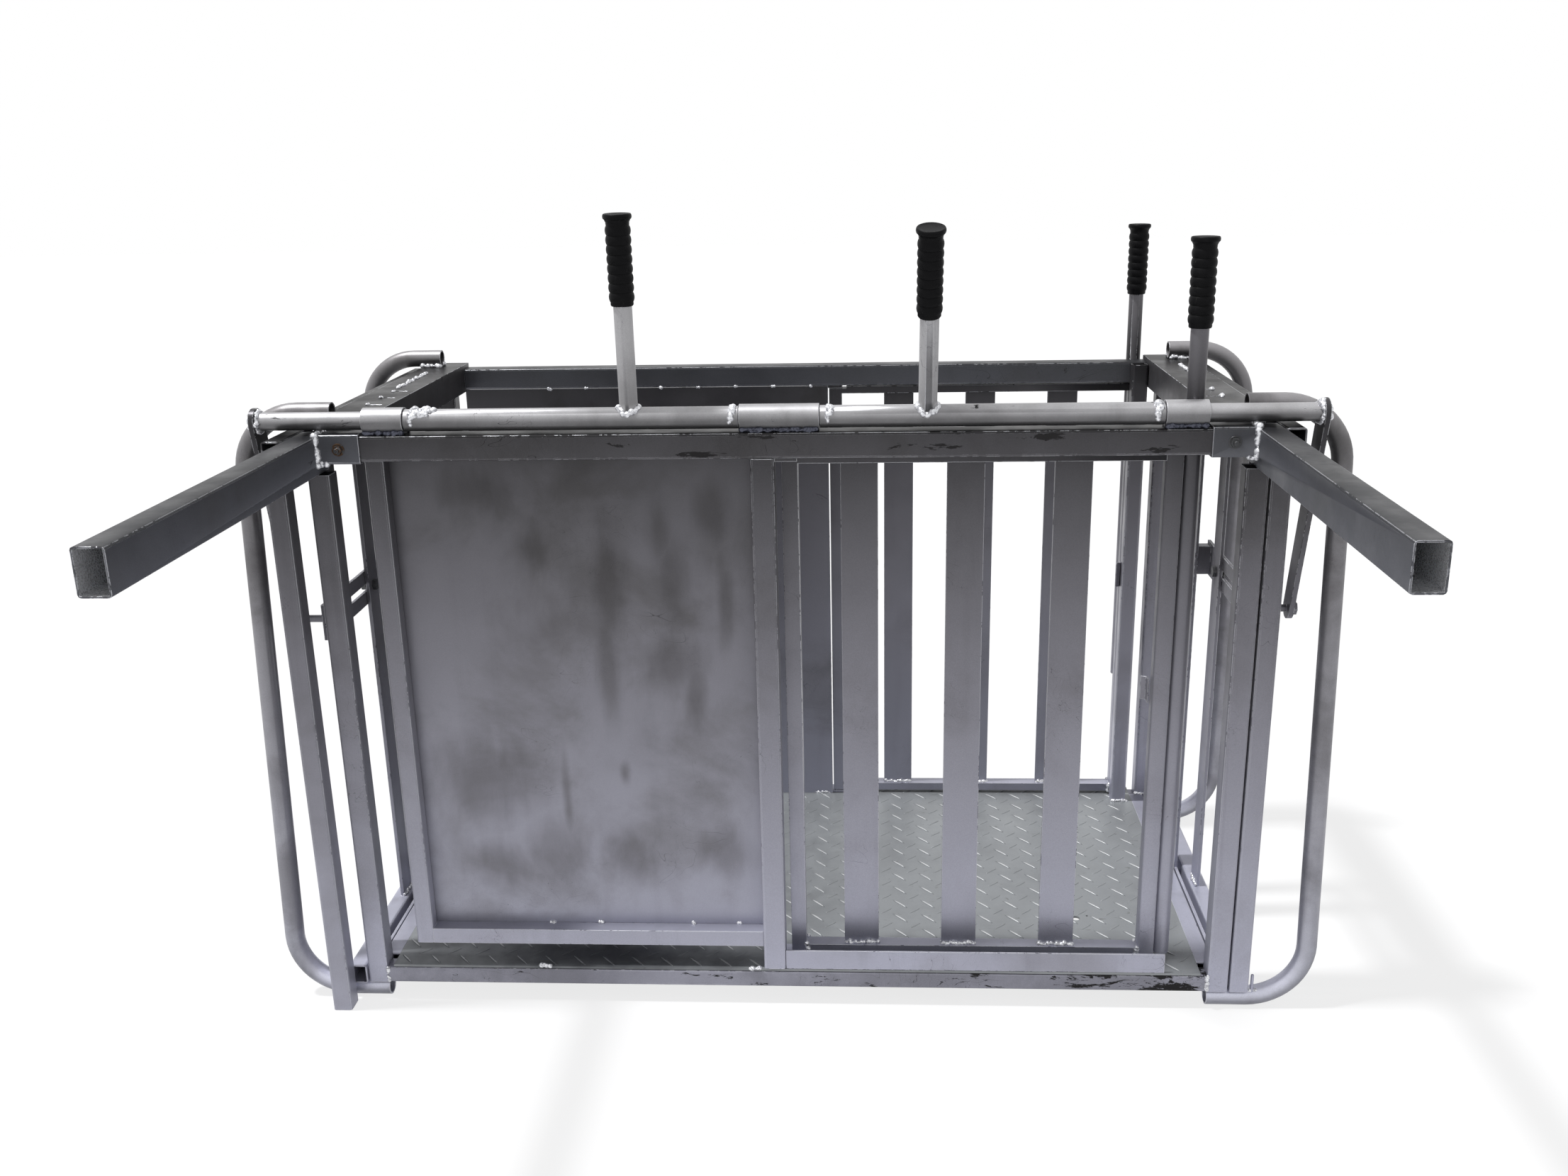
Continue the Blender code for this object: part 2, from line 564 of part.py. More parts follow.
def crank_plate(end, spec, axis):
    """Tapered plate with round ends, and the bolt that drives the leaf."""
    side = spec["side"]
    spot = bolt_spot(spec)
    direction = math.atan2(spot[1] - axis[1], spot[0] - axis[0])
    big, small, steps = 0.021, 0.017, 8
    outline = []
    for centre, radius, start in ((axis, big, direction + math.pi / 2), (spot, small, direction - math.pi / 2)):
        for step in range(steps + 1):
            angle = start + math.pi * step / steps
            outline.append((centre[0] + radius * math.cos(angle), centre[1] + radius * math.sin(angle)))
    inner_face = SHAFT_END + GAP
    outer_face = inner_face + CRANK_THICK
    plate = bar(f"{end}_crank", "X", [outline], *span(side, inner_face, outer_face))
    reach = span(side, LINK_IN - 0.013, outer_face + 0.005)
    shank = round_tube(f"{end}_drive_bolt", "X", spot, DRIVE_BOLT, 0, *reach)
    flats = hexagon(spot, 0.019)
    nuts = {"head": (outer_face - 0.001, outer_face + 0.0075), "nut_out": (LINK_OUT + 0.001, LINK_OUT + 0.011),
            "nut_in": (LINK_IN - 0.001, LINK_IN - 0.010)}
    hexes = [bar(f"{end}_drive_{name}", "X", [flats], *span(side, *ends)) for name, ends in nuts.items()]
    return weld(plate, shank, *hexes)


def leaf(end, spec):
    """Sliding gate leaf: a flat-bar frame in the tracks, and the slotted drive bar outboard of it."""
    side = spec["side"]
    spot = bolt_spot(spec)
    front, back = spot[0] - 0.040, spot[0] + 0.305
    low, high = height(LIP + 0.0005), TOP - 0.007
    window = rectangle((front + 0.035, low + 0.026), (back - 0.040, high - 0.018))
    frame = bar(f"{end}_gate_leaf", "X", [rectangle((front, low), (back, high)), window],
                *span(side, LEAF_IN, LEAF_OUT))
    rest, full = math.radians(spec["crank"]), math.radians(spec["crank"] + spec["swing"])
    lifted = height(SHAFT_HEIGHT) - CRANK_REACH * math.cos(full)
    travel = CRANK_REACH * (math.sin(full) - math.sin(rest))
    middle, slack = height(LINK_HEIGHT), DRIVE_BOLT / 2 + 0.0035
    under, over, tower = middle - LINK_HALF, middle + LINK_HALF, lifted + 0.024
    guide = depth(spec["neck"])
    outline = [(front, under), (back, under), (back, over), (spot[0] + 0.022, over), (spot[0] + 0.022, tower),
               (front + 0.018, tower), (front + 0.018, over), (front, over)]
    upright = rounded((spot[0] - slack, spot[1] - 0.010), (spot[0] + slack, lifted + 0.010), slack - 0.0005)
    half_slot = GUIDE_BOLT / 2 + 0.0015
    level = rounded((guide - travel - 0.010, middle - half_slot), (guide + 0.0085, middle + half_slot), 0.006)
    link = bar(f"{end}_drive_bar", "X", [outline, upright, level], *span(side, LINK_IN, LINK_OUT))
    near, far = span(side, LEAF_OUT - 0.001, LINK_IN + 0.001)
    spacers = []
    for number, (start, stop) in enumerate(((front + 0.001, front + 0.021), (back - 0.029, back - 0.010))):
        spacers.append(box(f"{end}_spacer_{number}", (near, start, under + 0.004), (far, stop, over - 0.004)))
    joined = weld(frame, *spacers, link)
    carry(pivot(f"{end}_leaf_axis", (side * LEAF_IN, *spot)), joined)


def slatted_gate(name, hinge, first_slat, slat_pitch, handle, brackets):
    """Side gate: bored hinge stile, free stile, rails and slats, with the handle welded to the free stile."""
    middle = hinge[1]
    near, far = middle - GATE_DEEP / 2, middle + GATE_DEEP / 2
    left = gate_left(hinge)
    right = left + GATE_SPAN
    low, high, crown = height(GATE_LOW), height(GATE_HIGH), height(HEAD_HIGH)
    loops = [rectangle((left, near), (left + GATE_DEEP, far)), circle(hinge, (HINGE_ROD + TURN_PLAY) / 2)]
    stile = bar(name, "Z", loops, low, high)
    free = box_tube(f"{name}_free_stile", "Z", (right - 0.028, near), (right, far), low, crown)
    start, stop = left + GATE_DEEP - 0.001, right - 0.027
    rail = channel_rail(f"{name}_rail", start, stop, near - FRONT, low, GATE_CHANNEL_TALL)
    head = box(f"{name}_head", (start, near, high - 0.010), (stop, far, high))
    clear = hinge[0] + 1.6 * LUG_REACH
    cap = box(f"{name}_cap", (clear, near, high - 0.001), (stop, far, crown))
    pieces = [free, rail, head, cap]
    for number in range(3):
        centre = left + first_slat + slat_pitch * number
        slat_low = (centre - SLAT_WIDE / 2, middle - SLAT_THICK / 2, low + GATE_CHANNEL_TALL - 0.001)
        slat_high = (centre + SLAT_WIDE / 2, middle + SLAT_THICK / 2, high - 0.009)
        pieces.append(box(f"{name}_slat_{number}", slat_low, slat_high))
    spot, bottom, top = handle
    tube = round_tube(f"{name}_handle", "Z", spot, GATE_TUBE, GATE_TUBE - 0.005, bottom, top)
    gate = weld(stile, *pieces, tube, *brackets)
    top_grip = grip(f"{name}_grip", (*spot, grip_base(top)), GATE_TUBE)
    carry(pivot(f"{name}_axis", (*hinge, low)), gate, top_grip)


def gates():
    """The front gate's handle is in line with its free stile, the back gate's stands off behind it on clips."""
    spot = (gate_left(FRONT_HINGE) + GATE_SPAN + GATE_TUBE / 2 - 0.0008, FRONT_HINGE[1])
    slatted_gate("front_gate", FRONT_HINGE, 0.119, 0.164, (spot, height(0.045), TOP + 0.267), [])
    spot = (gate_left(BACK_HINGE) + GATE_SPAN - 0.014, depth(WIDTH + 0.003 + GATE_TUBE / 2))
    clips = []
    for number, level in enumerate((0.33, HEIGHT - 0.15)):
        low = (spot[0] - 0.009, BACK_HINGE[1] + GATE_DEEP / 2 - 0.001, height(level))
        clips.append(box(f"back_clip_{number}", low, (spot[0] + 0.007, spot[1] - 0.008, height(level + 0.03))))
    slatted_gate("back_gate", BACK_HINGE, 0.137, 0.160, (spot, height(0.29), TOP + 0.250), clips)


floor_frame()
top_rails()
bearings()
for end_name, end_spec in ENDS.items():
    end_sills(end_name, end_spec)
    guide_bolt(end_name, end_spec)
    posts(end_name, end_spec)
    end_top(end_name, end_spec)
    outrigger(end_name, end_spec)
    hoop(f"{end_name}_front_hoop", end_spec["side"], 0.075, 0.019)
    hoop(f"{end_name}_back_hoop", end_spec["side"], WIDTH - 0.050, WIDTH - 0.019)
    lever(end_name, end_spec)
    leaf(end_name, end_spec)
front_side()
back_side()
hinge_rods()
gates()
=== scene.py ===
# %% [markdown]
# # A steel handling crate for calves and sheep
# The real crate is welded from square and round tube, flat bar and sheet, painted with aluminium paint and
# then knocked about. The construction comes in as a fixed frame. This lesson adds what the eye reads as real:
# worn paint, weld beads, a raised tread on the floor plate, ribbed rubber grips and smooth round tubes.

# %% Load the fixed frame
import json
import math

import bmesh
import bpy
from mathutils import Matrix, Vector

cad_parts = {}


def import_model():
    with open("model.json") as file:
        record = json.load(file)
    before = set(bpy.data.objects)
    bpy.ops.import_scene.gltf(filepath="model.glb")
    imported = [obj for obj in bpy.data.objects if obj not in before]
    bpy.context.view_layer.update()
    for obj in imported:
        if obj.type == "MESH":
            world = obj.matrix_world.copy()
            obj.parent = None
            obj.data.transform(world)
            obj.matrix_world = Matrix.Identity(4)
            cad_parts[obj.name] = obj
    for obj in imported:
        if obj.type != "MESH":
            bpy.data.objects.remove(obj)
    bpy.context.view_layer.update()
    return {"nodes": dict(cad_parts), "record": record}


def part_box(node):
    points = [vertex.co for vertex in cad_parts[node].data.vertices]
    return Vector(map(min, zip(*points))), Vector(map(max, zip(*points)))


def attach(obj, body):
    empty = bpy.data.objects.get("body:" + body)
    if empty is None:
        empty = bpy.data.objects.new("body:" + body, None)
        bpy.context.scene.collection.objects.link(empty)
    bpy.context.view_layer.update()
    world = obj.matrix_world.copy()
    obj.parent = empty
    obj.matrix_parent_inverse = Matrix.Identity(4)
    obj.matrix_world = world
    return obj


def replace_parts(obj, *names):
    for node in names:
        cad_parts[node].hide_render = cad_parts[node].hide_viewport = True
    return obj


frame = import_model()
BODY_OF = {node: body for body, nodes in frame["record"]["behaviour"]["bodies"].items() for node in nodes}
SIDES = {"left": -1, "right": 1}

# %% [markdown]
# ## Places taken from the frame
# Every detail sits on a real face, so its place is read from the piece that carries it. A few reference
# planes are enough: the front and back of the frame, its underside and its top, and the line that the lever
# shafts turn on.

# %% Reference planes
FRONT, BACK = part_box("front_top_rail")[0].y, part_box("back_top_rail")[1].y
UNDER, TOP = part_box("floor_front_rail")[0].z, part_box("front_top_rail")[1].z
PLATE_LOW, PLATE_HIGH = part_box("tread_plate")
ANGLE_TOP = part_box("left_end_angle")[1].z
BEARING_LOW, BEARING_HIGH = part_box("centre_bearing")
SHAFT_Y = (BEARING_LOW.y + BEARING_HIGH.y) / 2
SHAFT_Z = (BEARING_LOW.z + BEARING_HIGH.z) / 2
print("frame depth", round(BACK - FRONT, 4), "height", round(TOP - UNDER, 4))

# %% [markdown]
# ## The camera
# The view looks down on the crate from standing height, a little right of the middle, with a wide normal
# lens. The camera's axes are worked out from three plain angles: how far it turns, tips down and rolls.

# %% Camera
EYE = Vector((0.139, FRONT - 2.0765, UNDER + 1.353))
YAW, PITCH, ROLL = -0.0568, 0.2995, -0.0199
ahead = Vector((math.sin(YAW) * math.cos(PITCH), math.cos(YAW) * math.cos(PITCH), -math.sin(PITCH)))
level_right = Vector((math.cos(YAW), -math.sin(YAW), 0))
level_up = level_right.cross(ahead)
right = level_right * math.cos(ROLL) + level_up * math.sin(ROLL)
up = right.cross(ahead)
lens = bpy.data.cameras.new("camera")
lens.sensor_width, lens.lens = 36.0, 32.4
lens.shift_x, lens.shift_y = -0.0075, -0.0015
lens.clip_start, lens.clip_end = 0.05, 60
camera = bpy.data.objects.new("camera", lens)
axes = Matrix((right, up, -ahead)).transposed().to_4x4()
camera.matrix_world = Matrix.Translation(EYE) @ axes
bpy.context.scene.collection.objects.link(camera)
bpy.context.scene.camera = camera

# %% [markdown]
# ## Floor and light
# A plain white studio: the floor is a large pale sheet that keeps the crate's shadow, and the world is white
# where the camera or a reflection sees it. One lamp stands high on the left, almost in the plane of the
# front. It grazes the front faces, so they stay in quiet shade, while edges and the tops of the tubes shine.

# %% Stage
def shader_nodes(owner):
    owner.use_nodes = True
    tree = owner.node_tree
    tree.nodes.clear()
    return tree


def link(tree, *pairs):
    for source, target in pairs:
        tree.links.new(source, target)


def seen_rays(tree):
    """1 for camera, glossy and transmission rays, 0 for the rays that light the object."""
    path = tree.nodes.new("ShaderNodeLightPath")
    value = path.outputs["Is Camera Ray"]
    for label in ("Is Glossy Ray", "Is Transmission Ray"):
        larger = tree.nodes.new("ShaderNodeMath")
        larger.operation = "MAXIMUM"
        link(tree, (value, larger.inputs[0]), (path.outputs[label], larger.inputs[1]))
        value = larger.outputs[0]
    return value


def world(diffuse_level):
    made = bpy.data.worlds.new("studio")
    bpy.context.scene.world = made
    tree = shader_nodes(made)
    strength = tree.nodes.new("ShaderNodeMapRange")
    strength.inputs["To Min"].default_value = diffuse_level
    background = tree.nodes.new("ShaderNodeBackground")
    background.inputs["Color"].default_value = (1.0, 1.0, 1.0, 1)
    out = tree.nodes.new("ShaderNodeOutputWorld")
    link(tree, (seen_rays(tree), strength.inputs["Value"]),
         (strength.outputs["Result"], background.inputs["Strength"]),
         (background.outputs[0], out.inputs["Surface"]))


def lamp(energy, direction, softness):
    sun = bpy.data.lights.new("high_lamp", "SUN")
    sun.energy, sun.angle = energy, math.radians(softness)
    made = bpy.data.objects.new("high_lamp", sun)
    made.rotation_mode = "QUATERNION"
    made.rotation_quaternion = Vector(direction).to_track_quat("-Z", "Y")
    bpy.context.scene.collection.objects.link(made)


def floor(white_share):
    bpy.ops.mesh.primitive_plane_add(size=40)
    sheet = bpy.context.object
    sheet.name = "studio_floor"
    look = bpy.data.materials.new("studio_floor")
    tree = shader_nodes(look)
    matt = tree.nodes.new("ShaderNodeBsdfDiffuse")
    matt.inputs["Color"].default_value = (0.84, 0.84, 0.85, 1)
    glow = tree.nodes.new("ShaderNodeEmission")
    share = tree.nodes.new("ShaderNodeMath")
    share.operation = "MULTIPLY"
    share.inputs[1].default_value = white_share
    both = tree.nodes.new("ShaderNodeMixShader")
    out = tree.nodes.new("ShaderNodeOutputMaterial")
    link(tree, (seen_rays(tree), share.inputs[0]), (share.outputs[0], both.inputs[0]),
         (matt.outputs[0], both.inputs[1]),
         (glow.outputs[0], both.inputs[2]), (both.outputs[0], out.inputs[0]))
    sheet.data.materials.append(look)


world(0.40)
lamp(3.5, (0.42, 0.03, -1), 5.0)
floor(0.78)
bpy.context.scene.view_settings.view_transform = "Standard"

# %% [markdown]
# ## Shared effects: cloudy paint with painted shade, and wear and painted highlights along edges
# Aluminium paint is never one grey. It is cloudy where it was brushed thin, streaked where water ran down,
# and cooler low down and warmer near the top. A painted shade makes it lighter low down and darker near the
# top.
# Wear shows first on edges, where a painted highlight is laid as well. Several finishes use these effects, so
# each is a shader group with named inputs, built once. The edge is found with a Bevel node: where the softened
# normal differs from the flat one, there is an edge. Two smaller groups make a soft oval patch, used for
# smudges, rubbed spots and a painted shadow, and the painted light and shade of a face by which way it looks.

# %% A small helper for shader groups
def group_tree(name, inputs, outputs):
    """An empty shader group. Inputs are name: default, outputs are name: socket type."""
    tree = bpy.data.node_groups.new(name, "ShaderNodeTree")
    for label, value in inputs.items():
        size = len(value) if isinstance(value, tuple) else 1
        kind = {1: "NodeSocketFloat", 3: "NodeSocketVector", 4: "NodeSocketColor"}[size]
        socket = tree.interface.new_socket(label, in_out="INPUT", socket_type=kind)
        socket.default_value = value
    for label, kind in outputs.items():
        tree.interface.new_socket(label, in_out="OUTPUT", socket_type=kind)
    return tree, tree.nodes.new("NodeGroupInput"), tree.nodes.new("NodeGroupOutput")


def place_coordinates(tree, scale):
    """Object coordinates, stretched by a scale for each axis."""
    where = tree.nodes.new("ShaderNodeTexCoord")
    mapping = tree.nodes.new("ShaderNodeMapping")
    mapping.inputs["Scale"].default_value = scale
    tree.links.new(where.outputs["Object"], mapping.inputs["Vector"])
    return mapping.outputs["Vector"]


def noise(tree, vector, scale, detail=4.0, roughness=0.55, distortion=0.0):
    made = tree.nodes.new("ShaderNodeTexNoise")
    made.inputs["Detail"].default_value = detail
    made.inputs["Roughness"].default_value = roughness
    made.inputs["Distortion"].default_value = distortion
    tree.links.new(vector, made.inputs["Vector"])
    if isinstance(scale, float):
        made.inputs["Scale"].default_value = scale
    else:
        tree.links.new(scale, made.inputs["Scale"])
    return made.outputs["Fac"]


def remap(tree, value, low, high, to_low=0.0, to_high=1.0, smooth=True):
    made = tree.nodes.new("ShaderNodeMapRange")
    made.interpolation_type = "SMOOTHSTEP" if smooth else "LINEAR"
    for label, number in (("From Min", low), ("From Max", high), ("To Min", to_low), ("To Max", to_high)):
        if isinstance(number, float):
            made.inputs[label].default_value = number
        else:
            tree.links.new(number, made.inputs[label])
    tree.links.new(value, made.inputs["Value"])
    return made.outputs["Result"]


def calculate(tree, operation, first, second=None):
    made = tree.nodes.new("ShaderNodeMath")
    made.operation = operation
    for socket, number in zip(made.inputs, (first, second)):
        if isinstance(number, float):
            socket.default_value = number
        elif number is not None:
            tree.links.new(number, socket)
    return made.outputs[0]


def mix_colour(tree, factor, first, second, blend="MIX"):
    made = tree.nodes.new("ShaderNodeMix")
    made.data_type = "RGBA"
    made.blend_type = blend
    for label, value in (("Factor_Float", factor), ("A_Color", first), ("B_Color", second)):
        socket = next(item for item in made.inputs if item.identifier == label)
        if isinstance(value, float):
            socket.default_value = value
        elif isinstance(value, tuple):
            socket.default_value = (*value[:3], 1.0)
        else:
            tree.links.new(value, socket)
    return next(item for item in made.outputs if item.identifier == "Result_Color")


def scale_colour(tree, colour, tone):
    """A colour made lighter or darker by one number."""
    made = tree.nodes.new("ShaderNodeVectorMath")
    made.operation = "SCALE"
    link(tree, (colour, made.inputs[0]), (tone, made.inputs["Scale"]))
    return made.outputs[0]


# %% Cloudy paint
# Heights over which the paint is painted darker towards the top: a painted shade.
TONE_LOW_Z, TONE_HIGH_Z = UNDER + 0.02, TOP


def cloudy_paint_group():
    tree, given, out = group_tree("cloudy_paint", {
        "Light": (0.3, 0.3, 0.33, 1.0), "Dark": (0.15, 0.15, 0.16, 1.0), "Cloud Scale": 3.0,
        "Cloud Middle": 0.5, "Streaks": 0.3, "Flake": 0.10, "Top Painted Shade": 0.2, "Raised": 0.22},
        {"Color": "NodeSocketColor", "Roughness": "NodeSocketFloat", "Height": "NodeSocketFloat"})
    plain = place_coordinates(tree, (1, 1, 1))
    clouds = noise(tree, plain, given.outputs["Cloud Scale"], 5.0, 0.6, 0.3)
    edge_low = calculate(tree, "SUBTRACT", given.outputs["Cloud Middle"], 0.13)
    edge_high = calculate(tree, "ADD", given.outputs["Cloud Middle"], 0.15)
    cloud = remap(tree, clouds, edge_low, edge_high)
    colour = mix_colour(tree, cloud, given.outputs["Light"], given.outputs["Dark"])
    runs = noise(tree, place_coordinates(tree, (22, 22, 1.6)), 1.0, 4.0, 0.6, 0.15)
    streak = calculate(tree, "MULTIPLY", remap(tree, runs, 0.52, 0.74), given.outputs["Streaks"])
    darker = mix_colour(tree, 1.0, colour, (0.35, 0.34, 0.33), "MULTIPLY")
    colour = mix_colour(tree, streak, colour, darker)
    # Painted shade: the tone falls from 1 low down to Top Painted Shade at the top, and the colour grows
    # warmer; above the top, Raised lifts the tone again for the pieces that stand higher.
    level = tree.nodes.new("ShaderNodeSeparateXYZ")
    tree.links.new(plain, level.inputs[0])
    rise = remap(tree, level.outputs["Z"], TONE_LOW_Z, TONE_HIGH_Z, smooth=False)
    drop = calculate(tree, "SUBTRACT", given.outputs["Top Painted Shade"], 1.0)
    tone = calculate(tree, "ADD", calculate(tree, "MULTIPLY", drop, rise), 1.0)
    above = remap(tree, level.outputs["Z"], TOP, TOP + 0.14)
    tone = calculate(tree, "ADD", tone, calculate(tree, "MULTIPLY", above, given.outputs["Raised"]))
    warmer = mix_colour(tree, 1.0, colour, (1.04, 1.0, 0.90), "MULTIPLY")
    colour = mix_colour(tree, rise, colour, warmer)
    grain = noise(tree, plain, 1400.0, 2.0, 0.5)
    flake = remap(tree, grain, 0.35, 0.65, -1.0, 1.0, False)
    sparkle = calculate(tree, "ADD", calculate(tree, "MULTIPLY", flake, given.outputs["Flake"]), 1.0)
    brightened = scale_colour(tree, colour, calculate(tree, "MULTIPLY", sparkle, tone))
    patch = noise(tree, plain, 14.0, 4.0, 0.6)
    rough = calculate(tree, "ADD", remap(tree, patch, 0.3, 0.7, 0.32, 0.46),
                      calculate(tree, "MULTIPLY", cloud, 0.06))
    skin = calculate(tree, "ADD", calculate(tree, "MULTIPLY", grain, 0.35),
                     noise(tree, plain, 120.0, 3.0, 0.6))
    link(tree, (brightened, out.inputs["Color"]), (rough, out.inputs["Roughness"]),
         (skin, out.inputs["Height"]))
    return tree


# %% A soft patch, and painted light and shade by which way a face looks
def patch_group():
    """A blurred oval round a place: 1 in its middle, 0 at its rim, broken up by noise."""
    tree, given, out = group_tree("patch", {
        "Place": (0.0, 0.0, 0.0), "Half Size": (0.1, 0.1, 0.1), "Broken": 0.5}, {"Mask": "NodeSocketFloat"})
    plain = place_coordinates(tree, (1, 1, 1))
    away = tree.nodes.new("ShaderNodeVectorMath")
    away.operation = "SUBTRACT"
    shares = tree.nodes.new("ShaderNodeVectorMath")
    shares.operation = "DIVIDE"
    far = tree.nodes.new("ShaderNodeVectorMath")
    far.operation = "LENGTH"
    link(tree, (plain, away.inputs[0]), (given.outputs["Place"], away.inputs[1]),
         (away.outputs[0], shares.inputs[0]),
         (given.outputs["Half Size"], shares.inputs[1]), (shares.outputs[0], far.inputs[0]))
    speckle = noise(tree, place_coordinates(tree, (26, 26, 9)), 1.0, 4.0, 0.5)
    ragged = remap(tree, speckle, 0.3, 0.7, -0.5, 0.5, False)
    rim = calculate(tree, "MULTIPLY", ragged, given.outputs["Broken"])
    reach = calculate(tree, "ADD", far.outputs["Value"], rim)
    tree.links.new(remap(tree, reach, 1.15, 0.1), out.inputs["Mask"])
    return tree


def painted_facing_light_group():
    """Painted light and shade: a tone that is high on faces that look up and low on faces that look down, up to
    a level.
    """
    tree, given, out = group_tree("painted_facing_light", {"Under": 0.2, "Over": 1.4, "Up To": 10.0},
                                  {"Tone": "NodeSocketFloat"})
    where = tree.nodes.new("ShaderNodeTexCoord")
    facing, spot = tree.nodes.new("ShaderNodeSeparateXYZ"), tree.nodes.new("ShaderNodeSeparateXYZ")
    link(tree, (where.outputs["Normal"], facing.inputs[0]), (where.outputs["Object"], spot.inputs[0]))
    tone = remap(tree, facing.outputs["Z"], -0.35, 0.70, given.outputs["Under"], given.outputs["Over"])
    higher = remap(tree, calculate(tree, "SUBTRACT", spot.outputs["Z"], given.outputs["Up To"]), 0.0, 0.006)
    even = calculate(tree, "MULTIPLY", calculate(tree, "SUBTRACT", 1.0, tone), higher)
    tree.links.new(calculate(tree, "ADD", tone, even), out.inputs["Tone"])
    return tree


# %% Edge wear, scuffs and scratches
def wear_group():
    tree, given, out = group_tree("wear", {"Edge": 0.5, "Scuffs": 0.3, "Scratches": 0.5, "Rubbed": 0.0},
                                  {"Worn": "NodeSocketFloat", "Bright": "NodeSocketFloat",
                                   "Normal": "NodeSocketVector"})
    soft = tree.nodes.new("ShaderNodeBevel")
    soft.samples = 4
    soft.inputs["Radius"].default_value = 0.0018
    flat = tree.nodes.new("ShaderNodeNewGeometry")
    turn = tree.nodes.new("ShaderNodeVectorMath")
    turn.operation = "DOT_PRODUCT"
    link(tree, (soft.outputs["Normal"], turn.inputs[0]), (flat.outputs["Normal"], turn.inputs[1]))
    edge = remap(tree, turn.outputs["Value"], 0.985, 0.86)
    plain = place_coordinates(tree, (1, 1, 1))
    broken = noise(tree, plain, 95.0, 5.0, 0.65)
    large = noise(tree, plain, 7.0, 3.0, 0.5)
    place = calculate(tree, "ADD", calculate(tree, "MULTIPLY", broken, 0.6),
                      calculate(tree, "MULTIPLY", large, 0.4))
    limit = remap(tree, given.outputs["Edge"], 0.0, 1.0, 0.72, 0.42, False)
    chip = calculate(tree, "MULTIPLY", calculate(tree, "GREATER_THAN", place, limit), edge)
    rub = noise(tree, place_coordinates(tree, (13, 13, 50)), 1.0, 8.0, 0.74, 0.5)
    where = noise(tree, plain, 2.6, 2.0, 0.5)
    scuff_at = calculate(tree, "ADD", calculate(tree, "MULTIPLY", rub, 0.68),
                         calculate(tree, "MULTIPLY", where, 0.32))
    scuff_at = calculate(tree, "ADD", scuff_at, calculate(tree, "MULTIPLY", given.outputs["Rubbed"], 0.125))
    scuff_limit = remap(tree, given.outputs["Scuffs"], 0.0, 1.0, 0.72, 0.54, False)
    scuff_end = calculate(tree, "ADD", scuff_limit, 0.012)
    scuff = remap(tree, scuff_at, scuff_limit, scuff_end)
    lines = []
    for stretch, turned, width in (((9, 9, 5), 7.0, 0.0022), ((4, 30, 7), 3.0, 0.0016)):
        field = noise(tree, place_coordinates(tree, stretch), 1.0, 2.0, 0.4, turned)
        away = calculate(tree, "ABSOLUTE", calculate(tree, "SUBTRACT", field, 0.5))
        lines.append(remap(tree, away, width, 0.0))
    some = remap(tree, noise(tree, plain, 5.0, 2.0, 0.5), 0.56, 0.62)
    scratch = calculate(tree, "MAXIMUM", *lines)
    scratch = calculate(tree, "MULTIPLY", calculate(tree, "MULTIPLY", scratch, some),
                        given.outputs["Scratches"])
    worn = calculate(tree, "MAXIMUM", calculate(tree, "MAXIMUM", chip, scuff), scratch)
    # Unchipped edges are painted light: rubbed paint together with a painted highlight.
    rub_and_painted_highlight = calculate(tree, "SUBTRACT", edge, chip)
    link(tree, (worn, out.inputs["Worn"]), (rub_and_painted_highlight, out.inputs["Bright"]),
         (soft.outputs["Normal"], out.inputs["Normal"]))
    return tree


CLOUDY, WEAR, PATCH, PAINTED_FACING_LIGHT = cloudy_paint_group(), wear_group(), patch_group(), painted_facing_light_group()
print("shader groups:", [group.name for group in bpy.data.node_groups])

# %% [markdown]
# ## The finishes
# Every paint is a Principled shader fed by the shared groups. Bare steel shows dark where paint is chipped,
# and edges that have only been rubbed are painted light, partly as rubbed paint and partly as a painted
# highlight. The metal value stays on the shader's own socket, the same all over.

# %% Painted steel in its variants
def principled(name, metallic):
    look = bpy.data.materials.new(name)
    tree = shader_nodes(look)
    shader = tree.nodes.new("ShaderNodeBsdfPrincipled")
    shader.inputs["Metallic"].default_value = metallic
    out = tree.nodes.new("ShaderNodeOutputMaterial")
    tree.links.new(shader.outputs[0], out.inputs["Surface"])
    return look, tree, shader


def feed(tree, shader, colour, rough, normal):
    for label, value in (("Base Color", colour), ("Roughness", rough), ("Normal", normal)):
        tree.links.new(value, shader.inputs[label])


def add_group(tree, group, values):
    made = tree.nodes.new("ShaderNodeGroup")
    made.node_tree = group
    for label, value in values.items():
        made.inputs[label].default_value = value
    return made


def bump(tree, height, strength, distance, normal=None):
    made = tree.nodes.new("ShaderNodeBump")
    made.inputs["Strength"].default_value = strength
    made.inputs["Distance"].default_value = distance
    tree.links.new(height, made.inputs["Height"])
    if normal is not None:
        tree.links.new(normal, made.inputs["Normal"])
    return made.outputs["Normal"]


def patches(tree, ovals, broken):
    """The largest of several patches. Each oval is (place, half size)."""
    mask = 0.0
    for place, half in ovals:
        spot = add_group(tree, PATCH, {"Place": place, "Half Size": half, "Broken": broken})
        mask = calculate(tree, "MAXIMUM", mask, spot.outputs["Mask"])
    return mask


